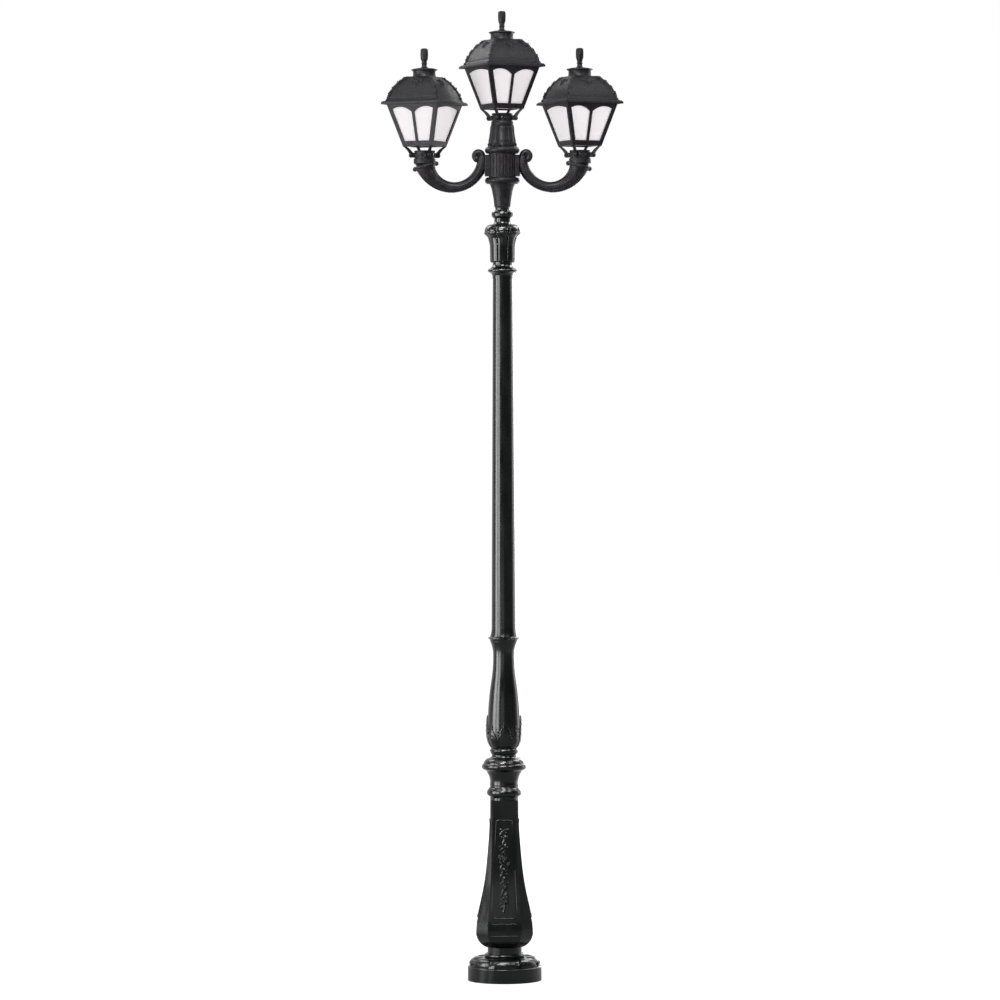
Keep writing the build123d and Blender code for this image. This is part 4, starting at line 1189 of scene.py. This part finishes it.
class LAMPPOST_OT_crown_panels(Operator):
    """Lay eight swelling leaves with ribs between them round the hub's crown"""
    bl_idname = "lamppost.crown_panels"
    bl_label = "Crown Leaves"

    count = 8
    foot_rise = 0.0225
    top_drop = 0.0145
    half_width = 0.80
    rib_at = 0.91
    curl_at = 0.52

    def execute(self, context):
        resin = finish("lantern_black")
        base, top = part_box("hub_crown")
        foot = base.z + self.foot_rise
        rise = top.z - self.top_drop - foot
        plain = radians(15)

        def place(across, along, out):
            height = foot + along * rise
            return around_axis(reach("hub_crown", height, plain) + out, across / self.count * pi, height)

        def laid(u, v, out):
            return place(self.half_width * u, v, out)

        def swell(v, u):
            return 0.0021 + 0.0012 * (1 - u * u) * (1 - 0.5 * v)

        panel = Carving()
        pillow(panel, laid, swell, 0.0015, 0.0, 14, 12)
        for hand in (-1, 1):
            path = [place(hand * self.rib_at, share, 0.0003) for share in shares(12)]
            panel.tube(path, [0.0010] * len(path), sides=8)
            centre = place(hand * self.curl_at, 0.085, 0.0034)
            turned = hand * self.curl_at / self.count * pi
            aside = hand * Vector((cos(turned), sin(turned), 0))

            def spot(turn, size, share, centre=centre, aside=aside):
                return centre + size * (aside * cos(turn) + Vector((0, 0, sin(turn))))

            panel.scroll(spot, 14, radians(400), (0.0052, 0.7), (0.0014, 0.4))
        panels = ring(panel.object("crown_leaves", resin), self.count)
        settle(panels, COLUMN)
        return {"FINISHED"}


class LAMPPOST_OT_collar_gadroons(Operator):
    """Ring each lantern's collar with small upright lobes"""
    bl_idname = "lamppost.collar_gadroons"
    bl_label = "Collar Lobes"

    count = 16

    def execute(self, context):
        resin = finish("lantern_black")
        foot = lantern_heights("lantern_foot_middle")[0] + 0.0040
        collar = lantern_skin("lantern_foot_middle")
        plain = pi / self.count
        inwards = -around_axis(1.0, plain, 0.0)

        def place(across, along, out):
            start = around_axis(0.08, plain, foot + along)
            hit = collar.ray_cast(start, inwards, 0.06)[0]
            radius = sqrt(hit.x ** 2 + hit.y ** 2)
            return around_axis(radius + out, plain + across / radius, foot + along)

        lobe = Carving()
        leaf(lobe, place, 0.0150, 0.0052, 0.0024, lobes=0, sink=0.0015, rows=8, columns=6)
        lobes = ring(lobe.object("lobes", resin), self.count)
        on_each_lantern(lobes, "collar_gadroons", "head")
        return {"FINISHED"}


class LAMPPOST_OT_finials(Operator):
    """Fold a petal over each lobe of the finials' buds"""
    bl_idname = "lamppost.finials"
    bl_label = "Finial Petals"

    count = 6
    bud_height = 0.040

    def execute(self, context):
        resin = finish("lantern_black")
        top = lantern_heights("finial_middle")[1]
        finial = lantern_skin("finial_middle")

        def place(across, along, out):
            height = top - self.bud_height + along
            start = Vector((0.0, -0.1, min(height, top - 0.002)))
            hit = finial.ray_cast(start, Vector((0, 1, 0)), 0.1)[0]
            radius = max(0.004, -hit.y)
            return around_axis(radius + out, across / radius, height)

        bud = Carving()
        leaf(bud, place, 0.037, 0.0048, 0.0016, lobes=2, sink=0.0015, rows=16, columns=8)
        petals = ring(bud.object("petals", resin), self.count)
        on_each_lantern(petals, "finial_petals", "lid")
        return {"FINISHED"}


class LAMPPOST_OT_leg_scrolls(Operator):
    """Curl a scroll at the foot of each of a lantern's four legs"""
    bl_idname = "lamppost.leg_scrolls"
    bl_label = "Leg Scrolls"

    centre_x = 0.0475
    centre_rise = 0.0115

    def execute(self, context):
        resin = finish("lantern_black")
        centre = Vector((self.centre_x, 0.0, lantern_heights("lantern_foot_middle")[0] + self.centre_rise))
        scroll = Carving()
        for hand in (-1, 1):
            def spot(turn, size, share, hand=hand):
                aside = hand * (0.0036 + 0.0010 * share)
                return centre + Vector((size * sin(turn), aside, -size * cos(turn)))

            scroll.scroll(spot, 19, radians(430), (0.0072, 0.78), (0.0022, 0.35))
        scroll.ball(centre, 0.0034, squash=(1.0, 1.7, 1.0))
        scrolls = ring(scroll.object("scrolls", resin), 4, start=radians(45))
        on_each_lantern(scrolls, "leg_scrolls", "head")
        return {"FINISHED"}


class LAMPPOST_OT_stage(Operator):
    """Set up the floor, the light and the camera"""
    bl_idname = "lamppost.stage"
    bl_label = "Stage"

    # the middle of the picture, as shares of its width: above the ground, and left of the post
    middle_rise = 0.4808
    middle_left = 0.0033
    # how much of the white shows in gloss on the camera's side
    dark_side = 0.10

    def execute(self, context):
        scene = context.scene
        scene.view_settings.view_transform = "Standard"
        self.world(scene)
        self.floor(scene)
        self.lights(scene)
        self.camera(scene, scene.lamp_post_stage)
        return {"FINISHED"}

    def camera(self, scene, look):
        data = bpy.data.cameras.new("camera")
        camera = bpy.data.objects.new("camera", data)
        scene.collection.objects.link(camera)
        data.sensor_width = 36.0
        data.lens = data.sensor_width * look.camera_distance / look.picture_width
        data.clip_end = 200.0
        left = -self.middle_left * look.picture_width
        camera.location = (left, -look.camera_distance, look.camera_height)
        aim = Vector((left, 0.0, self.middle_rise * look.picture_width)) - camera.location
        level = aim.to_track_quat("-Z", "Y").to_matrix()
        camera.rotation_euler = (level @ Matrix.Rotation(look.camera_roll, 3, "Z")).to_euler()
        scene.camera = camera

    def level_by_ray(self, tree, other, seen, along, dark, bright):
        """Strength of the white: full to the eye, other to the object's light, and in gloss by place.

        In gloss it grows from the camera's side, at Y = dark, to behind the post, at Y = bright.
        """
        links = tree.links
        rays = tree.nodes.new("ShaderNodeLightPath")

        def level(value, low, high):
            node = tree.nodes.new("ShaderNodeMapRange")
            node.inputs["To Min"].default_value = low
            node.inputs["To Max"].default_value = high
            links.new(value, node.inputs["Value"])
            return node

        either = math_node(
            tree, "MAXIMUM", rays.outputs["Is Camera Ray"], rays.outputs["Is Transmission Ray"],
        )
        plain = level(either, other, seen)
        parts = tree.nodes.new("ShaderNodeSeparateXYZ")
        links.new(tree.nodes.new("ShaderNodeTexCoord").outputs[along], parts.inputs["Vector"])
        gloss = level(parts.outputs["Y"], self.dark_side * seen, seen)
        gloss.inputs["From Min"].default_value = dark
        gloss.inputs["From Max"].default_value = bright
        strength = tree.nodes.new("ShaderNodeMix")
        links.new(rays.outputs["Is Glossy Ray"], strength.inputs["Factor"])
        links.new(plain.outputs["Result"], strength.inputs["A"])
        links.new(gloss.outputs["Result"], strength.inputs["B"])
        return strength.outputs["Result"]

    def world(self, scene):
        """White behind the post and dark on the camera's side, as a studio looks in its gloss."""
        world = bpy.data.worlds.new("studio")
        world.use_nodes = True
        scene.world = world
        world.cycles.sampling_method = "NONE"
        background = world.node_tree.nodes["Background"]
        background.inputs["Color"].default_value = (1.0, 1.0, 1.0, 1.0)
        strength = self.level_by_ray(world.node_tree, 0.42, 1.0, "Generated", -0.1, 0.5)
        world.node_tree.links.new(strength, background.inputs["Strength"])

    def floor(self, scene):
        """White floor that keeps the object's shadow and melts into the white behind it."""
        half = 40.0
        mesh = bpy.data.meshes.new("floor")
        corners = [(-half, -half, 0), (half, -half, 0), (half, half, 0), (-half, half, 0)]
        mesh.from_pydata(corners, [], [(0, 1, 2, 3)])
        material = bpy.data.materials.new("pale_floor")
        material.use_nodes = True
        nodes = material.node_tree.nodes
        links = material.node_tree.links
        shader = nodes["Principled BSDF"]
        shader.inputs["Base Color"].default_value = (0.60, 0.60, 0.60, 1.0)
        shader.inputs["Roughness"].default_value = 1.0
        shader.inputs["Specular IOR Level"].default_value = 0.0
        glow = nodes.new("ShaderNodeEmission")
        strength = self.level_by_ray(material.node_tree, 0.0, 0.80, "Object", -0.3, 2.0)
        links.new(strength, glow.inputs["Strength"])
        both = nodes.new("ShaderNodeAddShader")
        links.new(shader.outputs[0], both.inputs[0])
        links.new(glow.outputs[0], both.inputs[1])
        links.new(both.outputs[0], nodes["Material Output"].inputs["Surface"])
        mesh.materials.append(material)
        floor = bpy.data.objects.new("floor", mesh)
        scene.collection.objects.link(floor)

    def lights(self, scene):
        """Soft lamps that light the whole post, and windows that only show as highlights on its gloss."""
        # bearing in degrees from the front, metres away, height, height aimed at, size, watts
        for name, bearing, away, height, aim, size, power, is_window in (
            ("soft_left", -50, 6.0, 2.4, 1.8, (3.0, 4.0), 145, False),
            ("soft_right", 60, 6.0, 2.4, 1.8, (3.0, 4.0), 130, False),
            ("soft_back", 170, 6.0, 3.2, 1.8, (3.0, 4.0), 140, False),
            ("window_side", -73, 5.0, 1.9, 1.9, (1.95, 4.0), 330, True),
            ("window_front", -46, 5.0, 1.9, 1.9, (1.50, 4.0), 220, True),
            ("window_right", 120, 5.0, 1.9, 1.9, (1.2, 4.0), 50, True),
            ("window_crown", -12, 4.9, 5.05, 2.9, (2.0, 1.0), 380, True),
            ("window_roofs", 40, 4.9, 5.05, 2.9, (2.0, 1.0), 110, True),
            ("high_front", -4, 3.0, 6.4, 2.0, (2.0, 1.0), 300, True),
            ("window_low", -11, 2.5, 1.10, 1.10, (1.0, 0.6), 2.5, True),
            ("high_left", -66, 3.0, 6.4, 3.0, (2.0, 2.0), 70, True),
            ("high_right", 66, 3.0, 6.4, 3.0, (1.6, 1.6), 80, True),
            ("edge_left", -128, 4.2, 5.4, 3.1, (2.0, 2.0), 100, True),
            ("edge_right", 128, 4.2, 5.4, 3.1, (2.0, 2.0), 170, True),
            ("window_back", 160, 5.0, 2.2, 2.2, (1.6, 4.0), 90, True),
        ):
            data = bpy.data.lights.new(name, "AREA")
            data.shape = "RECTANGLE"
            data.size, data.size_y = size
            data.energy = power
            lamp = bpy.data.objects.new(name, data)
            turn = radians(bearing)
            lamp.location = (away * sin(turn), -away * cos(turn), height)
            lamp.rotation_euler = (Vector((0, 0, aim)) - lamp.location).to_track_quat("-Z", "Y").to_euler()
            lamp.visible_camera = False
            lamp.visible_diffuse = not is_window
            lamp.visible_glossy = is_window
            scene.collection.objects.link(lamp)


class LAMPPOST_PT_panel(Panel):
    """Lamp post sizes, colours and steps"""
    bl_idname = "LAMPPOST_PT_panel"
    bl_label = "Lamp Post"
    bl_space_type = "VIEW_3D"
    bl_region_type = "UI"
    bl_category = "Lamp Post"

    def draw(self, context):
        layout = self.layout
        for group in (
            context.scene.lamp_post_column, context.scene.lamp_post_head, context.scene.lamp_post_stage,
        ):
            box = layout.box()
            for name in group.__annotations__:
                box.prop(group, name)
        for step in STEPS:
            layout.operator(step.bl_idname)


SETTINGS = {
    "lamp_post_column": ColumnSettings,
    "lamp_post_head": HeadSettings,
    "lamp_post_stage": StageSettings,
}
STEPS = (
    LAMPPOST_OT_finishes,
    LAMPPOST_OT_palmettes,
    LAMPPOST_OT_garlands,
    LAMPPOST_OT_calyx,
    LAMPPOST_OT_capital_leaves,
    LAMPPOST_OT_arm_carving,
    LAMPPOST_OT_crown_panels,
    LAMPPOST_OT_collar_gadroons,
    LAMPPOST_OT_roof_crests,
    LAMPPOST_OT_finials,
    LAMPPOST_OT_leg_scrolls,
    LAMPPOST_OT_stage,
)


def register():
    for cls in (*SETTINGS.values(), *STEPS, LAMPPOST_PT_panel):
        bpy.utils.register_class(cls)
    for name, cls in SETTINGS.items():
        setattr(bpy.types.Scene, name, PointerProperty(type=cls))


def unregister():
    for name in SETTINGS:
        delattr(bpy.types.Scene, name)
    for cls in reversed((*SETTINGS.values(), *STEPS, LAMPPOST_PT_panel)):
        bpy.utils.unregister_class(cls)


def main():
    register()
    for step in STEPS:
        group, name = step.bl_idname.split(".")
        getattr(getattr(bpy.ops, group), name)()


if __name__ == "__main__":
    main()
